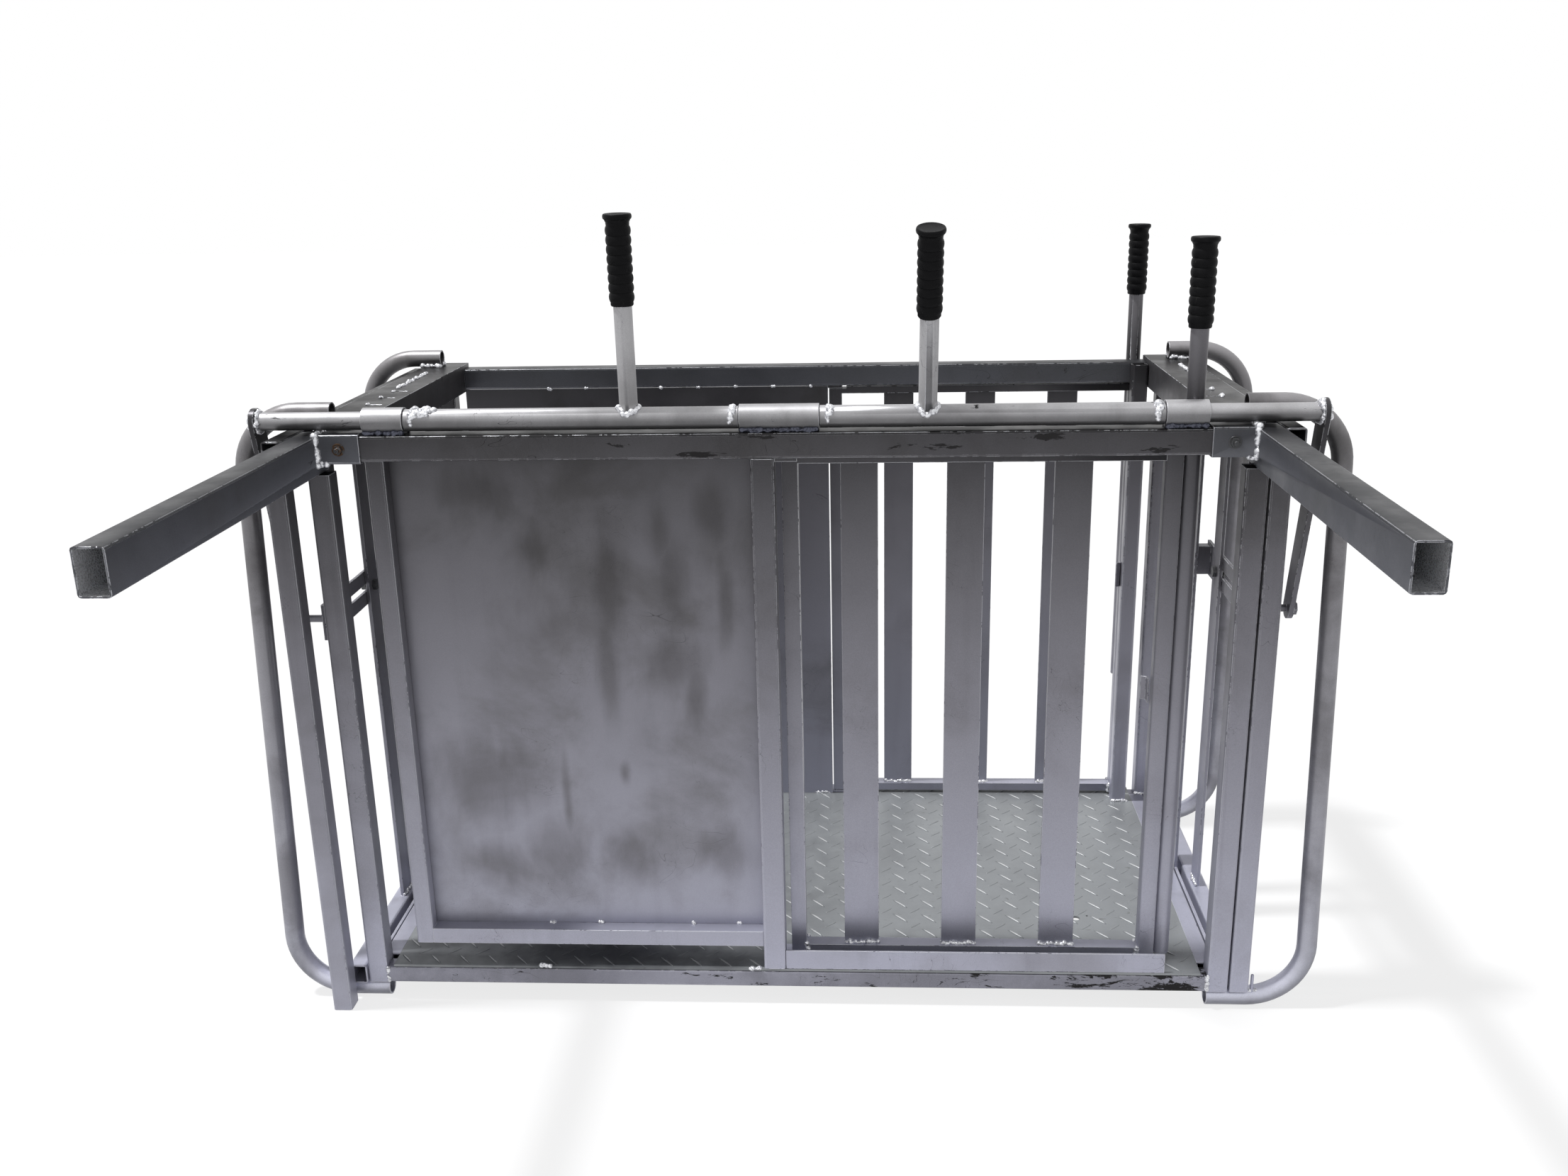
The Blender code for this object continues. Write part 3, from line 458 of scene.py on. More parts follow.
def painted(name, light, dark, cloud, streaks, high, wear, metallic=0.5, waves=0.0, smudges=(), rubbed=(),
            sides=None):
    """Aluminium paint: cloud is (scale, middle), wear is (edges, scuffs, scratches), high is the tone at the
    top, a painted shade.
    """
    look, tree, shader = principled(name, metallic)
    shader.inputs["Specular IOR Level"].default_value = 0.25
    paint = add_group(tree, CLOUDY, {"Light": (*light, 1), "Dark": (*dark, 1), "Cloud Scale": cloud[0],
                                     "Cloud Middle": cloud[1], "Streaks": streaks, "Top Painted Shade": high})
    worn = add_group(tree, WEAR, dict(zip(("Edge", "Scuffs", "Scratches"), wear)))
    if rubbed:
        tree.links.new(patches(tree, rubbed, 0.3), worn.inputs["Rubbed"])
    colour = paint.outputs["Color"]
    if smudges:
        darker = mix_colour(tree, 1.0, colour, (0.55, 0.54, 0.52), "MULTIPLY")
        smudge = calculate(tree, "MULTIPLY", patches(tree, smudges, 0.45), 0.8)
        colour = mix_colour(tree, smudge, colour, darker)
    # Painted light and shade: sides lightens faces that look up and darkens faces that look down.
    if sides:
        tone = add_group(tree, PAINTED_FACING_LIGHT, dict(zip(("Under", "Over", "Up To"), sides)))
        colour = scale_colour(tree, colour, tone.outputs["Tone"])
    # Painted highlight, with rubbed paint, on the unchipped edges.
    colour = mix_colour(tree, worn.outputs["Bright"], colour, (0.74, 0.75, 0.79))
    colour = mix_colour(tree, worn.outputs["Worn"], colour, (0.016, 0.015, 0.016))
    rough = calculate(tree, "ADD", paint.outputs["Roughness"],
                      calculate(tree, "MULTIPLY", worn.outputs["Worn"], 0.15))
    normal = bump(tree, paint.outputs["Height"], 0.16, 0.0004, worn.outputs["Normal"])
    if waves:
        swell = noise(tree, place_coordinates(tree, (1, 1, 1)), 5.0, 2.0, 0.4)
        normal = bump(tree, swell, waves, 0.004, normal)
    feed(tree, shader, colour, rough, normal)
    return look


PAINT, SHADE = (0.425, 0.43, 0.52), (0.325, 0.325, 0.38)
RUBBED_RAIL = [((-0.26, FRONT, 0.967), (0.11, 0.02, 0.014)), ((0.205, FRONT, 0.960), (0.09, 0.02, 0.012)),
               ((-0.03, FRONT, 0.976), (0.12, 0.03, 0.010)), ((0.56, FRONT, 0.952), (0.06, 0.02, 0.011)),
               ((-0.12, FRONT, 0.950), (0.10, 0.02, 0.008)), ((0.40, FRONT, 0.972), (0.08, 0.02, 0.010))]
RUBBED_ARM = [((-0.706, FRONT - 0.03, 0.950), (0.012, 0.045, 0.025)),
              ((0.706, FRONT - 0.03, 0.955), (0.012, 0.03, 0.02))]
SMUDGES = [((-0.479, 0.887), (0.060, 0.035)), ((-0.396, 0.795), (0.022, 0.035)),
           ((-0.275, 0.750), (0.026, 0.095)), ((-0.284, 0.591), (0.018, 0.080)),
           ((-0.194, 0.825), (0.020, 0.050)), ((-0.173, 0.735), (0.026, 0.070)),
           ((-0.093, 0.700), (0.013, 0.070)), ((-0.183, 0.600), (0.045, 0.045)),
           ((-0.146, 0.545), (0.018, 0.055)), ((-0.500, 0.400), (0.090, 0.070)),
           ((-0.395, 0.262), (0.050, 0.060)), ((-0.366, 0.362), (0.008, 0.070)),
           ((-0.267, 0.258), (0.045, 0.042)), ((-0.103, 0.269), (0.045, 0.042)),
           ((-0.268, 0.411), (0.009, 0.020)), ((-0.480, 0.241), (0.060, 0.040)),
           ((-0.109, 0.858), (0.028, 0.045))]
SMUDGES = [((x, FRONT + 0.03, z), (1.4 * half_x, 0.2, 1.4 * half_z)) for (x, z), (half_x, half_z) in SMUDGES]
STEEL = painted("painted_steel", PAINT, SHADE, (3.2, 0.56), 0.22, 0.085, (0.55, 0.18, 0.7))
RAIL = painted("top_rail_paint", PAINT, SHADE, (4.0, 0.54), 0.1, 0.125, (0.65, 0.46, 1.0), 0.4,
               rubbed=RUBBED_RAIL, sides=(1.3, 0.20, 10.0))
ARM = painted("arm_paint", (0.40, 0.43, 0.545), (0.345, 0.365, 0.445), (4.0, 0.54), 0.1, 0.20,
              (0.6, 0.15, 0.9), 0.45, rubbed=RUBBED_ARM, sides=(1.3, 0.30, 10.0))
BASE = painted("floor_rail_paint", (0.30, 0.30, 0.355), (0.21, 0.21, 0.245), (6.0, 0.50), 0.1, 0.17,
               (0.85, 0.85, 1.0))
TUBE = painted("tube_paint", (0.46, 0.475, 0.545), (0.34, 0.35, 0.40), (6.0, 0.56), 0.18, 0.56,
               (0.5, 0.55, 1.0), 0.7, sides=(0.62, 1.6, SHAFT_Z + 0.018))
HOOP = painted("hoop_paint", (0.46, 0.465, 0.535), (0.30, 0.30, 0.34), (7.0, 0.52), 0.3, 0.36,
               (0.5, 0.25, 0.5), 0.6, sides=(0.60, 1.6, 10.0))
SHEET = painted("sheet_paint", PAINT, (0.29, 0.29, 0.335), (4.6, 0.57), 0.08, 0.13, (0.5, 0.02, 0.5), 0.45,
                0.12, smudges=SMUDGES)
GATE = painted("gate_paint", (0.435, 0.44, 0.53), (0.37, 0.37, 0.44), (5.0, 0.60), 0.12, 0.085,
               (0.5, 0.06, 0.6), 0.45)


# %% [markdown]
# ### Floor plate, bolts, weld metal and rubber
# The tread plate is greener and duller than the paint, with dark smears and a painted shadow along the front.
# The tops of its bars are lighter, rubbed steel with a painted highlight. Bolts are zinc with rust. Weld metal
# is brushed bright with ripples, and under the bearings it is blued by heat. The bare steel inside the arms
# uses the same recipe, light enough to be partly painted light for their open ends. Rubber is nearly black,
# with pale dust.

# %% The other finishes
def tread_finish():
    look, tree, shader = principled("tread_steel", 0.4)
    plain = place_coordinates(tree, (1, 1, 1))
    colour = mix_colour(tree, remap(tree, noise(tree, plain, 9.0, 5.0, 0.6), 0.35, 0.75),
                        (0.27, 0.283, 0.295),
                        (0.225, 0.235, 0.245))
    smear = remap(tree, noise(tree, place_coordinates(tree, (30, 60, 1)), 1.0, 5.0, 0.65, 0.6), 0.64, 0.74)
    colour = mix_colour(tree, smear, colour, (0.15, 0.152, 0.15))
    level = tree.nodes.new("ShaderNodeSeparateXYZ")
    tree.links.new(plain, level.inputs[0])
    # The tops of the bars are painted lighter and smoother: rubbed steel, and a painted highlight on them too.
    rubbed = remap(tree, level.outputs["Z"], PLATE_HIGH.z + 0.0008, PLATE_HIGH.z + 0.0015)
    colour = mix_colour(tree, rubbed, colour, (0.58, 0.59, 0.60))
    # Painted shadow: a dark band along the front of the plate, where the panel and the top rail shade it.
    painted_front_shadow = patches(tree, [((-0.33, FRONT + 0.045, PLATE_HIGH.z), (0.37, 0.085, 0.1)),
                          ((0.30, FRONT + 0.055, PLATE_HIGH.z), (0.42, 0.060, 0.1))], 0.25)
    shadowed_colour = mix_colour(tree, 1.0, colour, (0.13, 0.135, 0.16), "MULTIPLY")
    colour = mix_colour(tree, painted_front_shadow, colour, shadowed_colour)
    worn = add_group(tree, WEAR, {"Edge": 0.3, "Scuffs": 0.02, "Scratches": 0.5})
    colour = mix_colour(tree, worn.outputs["Worn"], colour, (0.05, 0.048, 0.046))
    rough = calculate(tree, "SUBTRACT", remap(tree, noise(tree, plain, 30.0), 0.3, 0.7, 0.38, 0.52),
                      calculate(tree, "MULTIPLY", rubbed, 0.16))
    normal = bump(tree, noise(tree, plain, 260.0), 0.12, 0.0004)
    feed(tree, shader, colour, rough, normal)
    return look


def bolt_finish(name, rust):
    look, tree, shader = principled(name, 0.8)
    plain = place_coordinates(tree, (1, 1, 1))
    spots = noise(tree, plain, 160.0, 5.0, 0.6)
    zinc = mix_colour(tree, noise(tree, plain, 60.0), (0.13, 0.13, 0.135), (0.05, 0.052, 0.055))
    colour = mix_colour(tree, remap(tree, spots, 0.72 - rust, 0.80 - rust), zinc, (0.085, 0.050, 0.030))
    rough = remap(tree, spots, 0.3, 0.7, 0.28, 0.6)
    normal = bump(tree, spots, 0.25, 0.0004)
    feed(tree, shader, colour, rough, normal)
    return look


def weld_finish(name, light, dark):
    look, tree, shader = principled(name, 0.65)
    plain = place_coordinates(tree, (1, 1, 1))
    spatter = noise(tree, plain, 240.0, 5.0, 0.65)
    colour = mix_colour(tree, remap(tree, spatter, 0.42, 0.66), light, dark)
    rough = remap(tree, noise(tree, plain, 500.0), 0.3, 0.7, 0.18, 0.42)
    normal = bump(tree, spatter, 0.5, 0.0009)
    feed(tree, shader, colour, rough, normal)
    return look


def rubber_finish():
    look, tree, shader = principled("black_rubber", 0.0)
    plain = place_coordinates(tree, (1, 1, 1))
    dust = remap(tree, noise(tree, plain, 75.0, 6.0, 0.7), 0.52, 0.78)
    scraped = remap(tree, noise(tree, place_coordinates(tree, (190, 190, 40)), 1.0, 4.0, 0.6), 0.66, 0.76)
    colour = mix_colour(tree, dust, (0.003, 0.003, 0.0036), (0.008, 0.008, 0.009))
    colour = mix_colour(tree, scraped, colour, (0.026, 0.025, 0.024))
    rough = remap(tree, dust, 0.0, 1.0, 0.46, 0.70)
    shader.inputs["Specular IOR Level"].default_value = 0.09
    normal = bump(tree, noise(tree, plain, 700.0), 0.2, 0.0003)
    feed(tree, shader, colour, rough, normal)
    return look


TREAD = tread_finish()
ZINC, RUSTY = bolt_finish("zinc_bolt", 0.08), bolt_finish("rusty_bolt", 0.28)
WELD = weld_finish("bright_weld", (0.82, 0.83, 0.86), (0.30, 0.30, 0.33))
BLUED = weld_finish("blued_weld", (0.085, 0.09, 0.12), (0.02, 0.022, 0.035))
# Bare steel for inside the arms, kept light: partly painted light for their bright open ends.
BARE_AND_PAINTED_LIGHT = weld_finish("bare_steel_and_painted_light", (0.80, 0.81, 0.83), (0.62, 0.62, 0.64))
RUBBER = rubber_finish()
print("materials:", len(bpy.data.materials))

# %% [markdown]
# ## Finishes on the frame's own pieces
# Pieces whose shape is right keep their mesh and only take a finish. The rule goes by name: the top rails and
# arms are darker, the gates and the front panel's frame smoother, the posts and sills plain painted steel.


def finish_for(node):
    if "grip" in node:
        return RUBBER
    if node == "left_sleeve_bolt":
        return RUSTY
    if "bolt" in node or "hinge_rod" in node:
        return ZINC
    if node == "tread_plate":
        return TREAD
    if node in ("front_sheet", "back_sheet"):
        return SHEET
    if node in ("front_gate", "back_gate", "front_panel_frame"):
        return GATE
    if "hoop" in node:
        return HOOP
    if "outrigger" in node or node == "back_top_rail":
        return ARM
    if any(word in node for word in ("shaft", "handle_tube", "bearing")):
        return TUBE
    if any(word in node for word in ("front_top_rail", "end_angle", "outer_top_rail")):
        return RAIL
    if node in ("floor_front_rail", "floor_back_rail"):
        return BASE
    return STEEL


for node, thing in frame["nodes"].items():
    thing.data.materials.clear()
    thing.data.materials.append(finish_for(node))
print("finished", len(frame["nodes"]), "nodes")

# %% [markdown]
# ## Smooth round pieces
# The frame's round tubes are many-sided solids. A copy with its corner points merged can be shaded smooth,
# with only the real edges left sharp. The copy stands for the solid and moves with the same body. The arms
# are copied too, so that the faces inside their open ends can take bare steel, partly painted light for the
# bright open ends.

# %% Copies of the turned and tubular pieces
def own_piece(name, mesh, body, look=None):
    made = bpy.data.objects.new(name, mesh)
    bpy.context.scene.collection.objects.link(made)
    if look is not None:
        mesh.materials.clear()
        mesh.materials.append(look)
    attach(made, body)
    return made


def smooth_mesh(mesh, sharp_degrees=33.0):
    mesh.shade_smooth()
    mesh.set_sharp_from_angle(angle=math.radians(sharp_degrees))


def smooth_copy(node):
    mesh = frame["nodes"][node].data.copy()
    work = bmesh.new()
    work.from_mesh(mesh)
    bmesh.ops.remove_doubles(work, verts=work.verts, dist=0.00001)
    bmesh.ops.dissolve_limit(work, angle_limit=math.radians(0.5), verts=work.verts, edges=work.edges)
    work.to_mesh(mesh)
    work.free()
    smooth_mesh(mesh)
    made = own_piece(f"{node}_smooth", mesh, BODY_OF[node])
    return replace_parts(made, node)


def bare_and_painted_light_inside(node):
    """Bare steel on the faces inside an arm's bore, light enough to be partly painted light; its own section is
    read at the open end.
    """
    made = smooth_copy(node)
    made.data.materials.append(BARE_AND_PAINTED_LIGHT)
    end = [vertex.co for vertex in made.data.vertices if vertex.co.y < FRONT - 0.3]
    low = Vector((min(spot.x for spot in end), 0, min(spot.z for spot in end)))
    high = Vector((max(spot.x for spot in end), 0, max(spot.z for spot in end)))
    inside = 0
    for face in made.data.polygons:
        spot = face.center
        between = low.x + 0.001 < spot.x < high.x - 0.001 and low.z + 0.001 < spot.z < high.z - 0.001
        if between and abs(face.normal.y) < 0.5:
            face.material_index = 1
            inside += 1
    print(node, "bare faces inside:", inside)


for end in SIDES:
    bare_and_painted_light_inside(f"{end}_outrigger")
ROUND_NODES = [node for node in BODY_OF if any(
    word in node for word in ("handle_tube", "shaft", "crank", "bearing", "bolt", "hinge_rod"))]
ROUND_NODES += ["front_gate", "back_gate"]
for node in ROUND_NODES:
    smooth_copy(node)
print("smooth copies:", len(ROUND_NODES))

# %% [markdown]
# ## The hoops
# Each hoop is one tube bent twice, welded on top of the end angle and running down to a foot under the sills.
# A curve with enough points in its bends gives an even tube, and Solidify gives it its wall, so that the cut
# ends are open and dark inside.

# %% Bent tubes
HOOP_TUBE, HOOP_WALL, HOOP_BEND, BEND_STEPS = 0.032, 0.0025, 0.095, 14


def hoop(end, row):
    node = f"{end}_{row}_hoop"
    side = SIDES[end]
    low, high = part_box(node)
    radius = HOOP_TUBE / 2
    middle = (low.z + high.z) / 2
    points = [vertex.co for vertex in frame["nodes"][node].data.vertices]
    top_in = min(abs(point.x) for point in points if point.z > middle)
    foot_in = min(abs(point.x) for point in points if point.z < middle)
    near, far = low.y + radius, high.y - radius
    foot_y, top_y = (near, far) if row == "front" else (far, near)
    reach = max(abs(low.x), abs(high.x)) - radius
    bottom, top = low.z + radius, high.z - radius
    straight_low, straight_high = bottom + HOOP_BEND, top - HOOP_BEND
    path = [(top_in, top)]
    for centre_z, start in ((straight_high, 90), (straight_low, 0)):
        for step in range(BEND_STEPS + 1):
            angle = math.radians(start - 90 * step / BEND_STEPS)
            path.append((reach - HOOP_BEND + HOOP_BEND * math.cos(angle),
                         centre_z + HOOP_BEND * math.sin(angle)))
    path.append((foot_in, bottom))
    curve = bpy.data.curves.new(node, "CURVE")
    curve.dimensions = "3D"
    curve.bevel_depth = radius
    curve.bevel_resolution = 8
    spline = curve.splines.new("POLY")
    spline.points.add(len(path) - 1)
    for point, (x, z) in zip(spline.points, path):
        lean = min(max((z - straight_low) / (straight_high - straight_low), 0), 1)
        point.co = (side * x, foot_y + (top_y - foot_y) * lean, z, 1)
    rough = bpy.data.objects.new("hoop_path", curve)
    bpy.context.scene.collection.objects.link(rough)
    wall = rough.modifiers.new("wall", "SOLIDIFY")
    wall.thickness, wall.offset = HOOP_WALL, -1
    evaluated = rough.evaluated_get(bpy.context.evaluated_depsgraph_get())
    mesh = bpy.data.meshes.new_from_object(evaluated)
    bpy.data.objects.remove(rough)
    smooth_mesh(mesh, 40.0)
    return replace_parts(own_piece(f"{node}_tube", mesh, "frame", HOOP), node)


for end in SIDES:
    for row in ("front", "back"):
        hoop(end, row)

# %% [markdown]
# ## Ribbed rubber grips
# The grips are moulded in one, with a dished cap, a flange under it and soft ribs with a sharp crease between
# them. Such a shape is a profile turned about its own axis. The axis is found from the plain grip in the
# frame, so a tilted lever gets a tilted grip.

# %% Grips
GRIP_SIDES, RIBS, RIB_BULGE = 48, 8, 0.0019
GRIP_RADIUS, FLANGE_RADIUS, FLANGE_TALL, MOUTH_RADIUS = 0.0174, 0.0213, 0.008, 0.0145


def grip_profile(length):
    """Points of (radius, distance from the open end), from the mouth up the outside to the cap's middle."""
    ribs_start, ribs_end = 0.006, length - FLANGE_TALL - 0.009
    outer = [(MOUTH_RADIUS, 0.004), (MOUTH_RADIUS, 0.0), (GRIP_RADIUS - 0.0015, 0.0),
             (GRIP_RADIUS - 0.0004, 0.0016)]
    steps = RIBS * 10
    for step in range(steps + 1):
        share = step / steps
        bulge = abs(math.sin(math.pi * share * RIBS)) ** 0.7
        outer.append((GRIP_RADIUS - 0.0004 + RIB_BULGE * bulge, ribs_start + (ribs_end - ribs_start) * share))
    neck = length - FLANGE_TALL - 0.004
    outer += [(GRIP_RADIUS - 0.0002, ribs_end + 0.002), (GRIP_RADIUS, neck)]
    for step in range(9):
        angle = math.pi * (step / 8 - 0.5)
        outer.append((FLANGE_RADIUS - 0.002 + 0.002 * math.cos(angle),
                      length - FLANGE_TALL / 2 + (FLANGE_TALL / 2) * math.sin(angle)))
    dish = [(FLANGE_RADIUS * share, length - 0.0014 * (1 - share ** 2) - 0.0004)
            for share in (0.8, 0.6, 0.35, 0.0)]
    return outer + dish


def grip(node):
    points = [vertex.co for vertex in frame["nodes"][node].data.vertices]
    low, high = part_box(node)
    centre = sum(points, Vector()) / len(points)
    if BODY_OF[node].endswith("lever"):
        foot = Vector((centre.x, SHAFT_Y, SHAFT_Z))
    else:
        centre = Vector(((low.x + high.x) / 2, (low.y + high.y) / 2, centre.z))
        foot = Vector((centre.x, centre.y, UNDER))
    axis = (centre - foot).normalized()
    heights = [(point - foot).dot(axis) for point in points]
    start, length = min(heights), max(heights) - min(heights) - 0.0003
    work = bmesh.new()
    ring = [work.verts.new((radius, 0, level)) for radius, level in grip_profile(length)]
    edges = [work.edges.new(pair) for pair in zip(ring, ring[1:])]
    bmesh.ops.spin(work, geom=ring + edges, cent=(0, 0, 0), axis=(0, 0, 1), angle=2 * math.pi,
                   steps=GRIP_SIDES,
                   use_merge=True)
    bmesh.ops.remove_doubles(work, verts=work.verts, dist=0.00001)
    bmesh.ops.recalc_face_normals(work, faces=work.faces)
    mesh = bpy.data.meshes.new(node)
    work.to_mesh(mesh)
    work.free()
    turn = Vector((0, 0, 1)).rotation_difference(axis).to_matrix().to_4x4()
    mesh.transform(Matrix.Translation(foot + axis * start) @ turn)
    smooth_mesh(mesh, 50.0)
    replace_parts(own_piece(f"{node}_ribbed", mesh, BODY_OF[node], RUBBER), node)
    return foot, axis


GRIP_AXES = {node: grip(node) for node in BODY_OF if "grip" in node}
print("grips:", len(GRIP_AXES))

# %% [markdown]
# ## The tread on the floor plate
# Checker plate has short raised bars, shaped like lenses, in two directions, each on its own square grid and
# offset by half a step. Geometry Nodes lay one small bar on every point of both grids.

# %% Tread bars with Geometry Nodes
TREAD_PITCH, BAR_LONG, BAR_WIDE, BAR_TALL = 0.050, 0.040, 0.0044, 0.0016
EDGE_MARGIN = 0.018


def geometry_tree(name, inputs):
    """A Geometry Nodes group with a geometry input and output and named sizes."""
    tree = bpy.data.node_groups.new(name, "GeometryNodeTree")
    tree.interface.new_socket("Geometry", in_out="INPUT", socket_type="NodeSocketGeometry")
    tree.interface.new_socket("Geometry", in_out="OUTPUT", socket_type="NodeSocketGeometry")
    for label, (kind, value) in inputs.items():
        socket = tree.interface.new_socket(label, in_out="INPUT", socket_type=kind)
        if value is not None:
            socket.default_value = value
    return tree, tree.nodes.new("NodeGroupInput"), tree.nodes.new("NodeGroupOutput")


def made_by_nodes(name, mesh, tree, values):
    """The plain mesh that a Geometry Nodes group makes from a mesh."""
    guide = bpy.data.objects.new(name, mesh)
    bpy.context.scene.collection.objects.link(guide)
    modifier = guide.modifiers.new("nodes", "NODES")
    modifier.node_group = tree
    for item in tree.interface.items_tree:
        if item.in_out == "INPUT" and item.name in values:
            modifier[item.identifier] = values[item.name]
    evaluated = guide.evaluated_get(bpy.context.evaluated_depsgraph_get())
    result = bpy.data.meshes.new_from_object(evaluated)
    bpy.data.objects.remove(guide)
    return result


def bar_tree():
    tree, given, out = geometry_tree("tread_bars", {
        "Length": ("NodeSocketFloat", BAR_LONG), "Width": ("NodeSocketFloat", BAR_WIDE),
        "Height": ("NodeSocketFloat", BAR_TALL), "Material": ("NodeSocketMaterial", None)})
    ball = tree.nodes.new("GeometryNodeMeshUVSphere")
    ball.inputs["Segments"].default_value = 12
    ball.inputs["Rings"].default_value = 5
    ball.inputs["Radius"].default_value = 1.0
    halves = []
    for label in ("Length", "Width"):
        half = tree.nodes.new("ShaderNodeMath")
        half.operation = "MULTIPLY"
        half.inputs[1].default_value = 0.5
        tree.links.new(given.outputs[label], half.inputs[0])
        halves.append(half.outputs[0])
    size = tree.nodes.new("ShaderNodeCombineXYZ")
    shaped = tree.nodes.new("GeometryNodeTransform")
    copies = tree.nodes.new("GeometryNodeInstanceOnPoints")
    kept = {}
    for label in ("turn", "size"):
        kept[label] = tree.nodes.new("GeometryNodeInputNamedAttribute")
        kept[label].data_type = "FLOAT_VECTOR"
        kept[label].inputs["Name"].default_value = label
    whole = tree.nodes.new("GeometryNodeRealizeInstances")
    smooth = tree.nodes.new("GeometryNodeSetShadeSmooth")
    paint = tree.nodes.new("GeometryNodeSetMaterial")
    link(tree, (halves[0], size.inputs[0]), (halves[1], size.inputs[1]),
         (given.outputs["Height"], size.inputs[2]),
         (ball.outputs["Mesh"], shaped.inputs["Geometry"]), (size.outputs[0], shaped.inputs["Scale"]),
         (given.outputs["Geometry"], copies.inputs["Points"]), (shaped.outputs[0], copies.inputs["Instance"]),
         (kept["turn"].outputs["Attribute"], copies.inputs["Rotation"]),
         (kept["size"].outputs["Attribute"], copies.inputs["Scale"]), (copies.outputs[0], whole.inputs[0]),
         (whole.outputs[0], smooth.inputs["Geometry"]), (smooth.outputs[0], paint.inputs["Geometry"]),
         (given.outputs["Material"], paint.inputs["Material"]), (paint.outputs[0], out.inputs[0]))
    return tree


def tread_points():
    """Bar centres on both grids, with each bar's turn and size as attributes: one direction is worn lower."""
    spots, turns, sizes = [], [], []
    start = PLATE_LOW + Vector((EDGE_MARGIN, EDGE_MARGIN, 0))
    end = PLATE_HIGH - Vector((EDGE_MARGIN, EDGE_MARGIN, 0))
    for offset, turn, size in ((0.0, -48.0, (1, 1, 1)), (0.5, 42.0, (0.72, 0.8, 0.45))):
        columns = int((end.x - start.x) / TREAD_PITCH + 1 - offset)
        rows = int((end.y - start.y) / TREAD_PITCH + 1 - offset)
        for column in range(columns):
            for row in range(rows):
                spots.append((start.x + (column + offset) * TREAD_PITCH,
                              start.y + (row + offset) * TREAD_PITCH,
                              PLATE_HIGH.z))
                turns.append((0, 0, math.radians(turn)))
                sizes.append(size)
    mesh = bpy.data.meshes.new("tread_points")
    mesh.from_pydata(spots, [], [])
    for label, values in (("turn", turns), ("size", sizes)):
        kept = mesh.attributes.new(label, "FLOAT_VECTOR", "POINT")
        for item, value in zip(kept.data, values):
            item.vector = value
    return mesh


bars = made_by_nodes("tread", tread_points(), bar_tree(),
                     {"Length": BAR_LONG, "Width": BAR_WIDE, "Height": BAR_TALL, "Material": TREAD})
own_piece("tread_bars", bars, "frame")
print("tread bars:", len(bars.polygons), "faces")

# %% [markdown]
# ## Weld beads
# A stick weld is a row of overlapping blobs, no two alike. Each bead is drawn as a short path. Geometry Nodes
# put points along it, move each a little and give it its own size, then melt them into one skin through a
# volume. The beads are sorted by body, so that a weld on a lever turns with the lever.

# %% A bead along a path
BEAD_VOXEL = 0.0011


def bead_tree():
    tree, given, out = geometry_tree("weld_bead", {
        "Pitch": ("NodeSocketFloat", 0.003), "Size": ("NodeSocketFloat", 0.003),
        "Wander": ("NodeSocketFloat", 0.001), "Seed": ("NodeSocketInt", 1),
        "Material": ("NodeSocketMaterial", None)})
    path = tree.nodes.new("GeometryNodeMeshToCurve")
    steps = tree.nodes.new("GeometryNodeResampleCurve")
    steps.mode = "LENGTH"
    points = tree.nodes.new("GeometryNodeCurveToPoints")
    points.mode = "EVALUATED"
    shift = tree.nodes.new("FunctionNodeRandomValue")
    shift.data_type = "FLOAT_VECTOR"
    shift.inputs["Min"].default_value = (-1, -1, -1)
    shift.inputs["Max"].default_value = (1, 1, 1)
    scaled = tree.nodes.new("ShaderNodeVectorMath")
    scaled.operation = "SCALE"
    moved = tree.nodes.new("GeometryNodeSetPosition")
    spread = tree.nodes.new("FunctionNodeRandomValue")
    spread.data_type = "FLOAT"
    low, high = (next(item for item in spread.inputs if item.identifier == key)
                 for key in ("Min_001", "Max_001"))
    low.default_value, high.default_value = 0.62, 1.25
    size = tree.nodes.new("ShaderNodeMath")
    size.operation = "MULTIPLY"
    skin = tree.nodes.new("GeometryNodePointsToVolume")
    skin.resolution_mode = "VOXEL_SIZE"
    skin.inputs["Voxel Size"].default_value = BEAD_VOXEL
    mesh = tree.nodes.new("GeometryNodeVolumeToMesh")
    mesh.inputs["Threshold"].default_value = 0.12
    smooth = tree.nodes.new("GeometryNodeSetShadeSmooth")
    whole = tree.nodes.new("GeometryNodeRealizeInstances")
    paint = tree.nodes.new("GeometryNodeSetMaterial")
    seeds = [next(item for item in node.inputs if item.name == "Seed") for node in (shift, spread)]
    vector_out = next(item for item in shift.outputs if item.type == "VECTOR")
    number_out = next(item for item in spread.outputs if item.identifier == "Value_001")
    link(tree, (given.outputs["Geometry"], path.inputs[0]), (path.outputs[0], steps.inputs["Curve"]),
         (given.outputs["Pitch"], steps.inputs["Length"]), (steps.outputs[0], points.inputs["Curve"]),
         (given.outputs["Seed"], seeds[0]), (given.outputs["Seed"], seeds[1]),
         (vector_out, scaled.inputs[0]), (given.outputs["Wander"], scaled.inputs["Scale"]),
         (points.outputs["Points"], moved.inputs["Geometry"]), (scaled.outputs[0], moved.inputs["Offset"]),
         (number_out, size.inputs[0]), (given.outputs["Size"], size.inputs[1]),
         (moved.outputs[0], skin.inputs["Points"]), (size.outputs[0], skin.inputs["Radius"]),
         (skin.outputs[0], mesh.inputs["Volume"]), (mesh.outputs[0], smooth.inputs["Geometry"]),
         (smooth.outputs[0], whole.inputs[0]), (whole.outputs[0], paint.inputs["Geometry"]),
         (given.outputs["Material"], paint.inputs["Material"]), (paint.outputs[0], out.inputs[0]))
    return tree


BEADS = bead_tree()


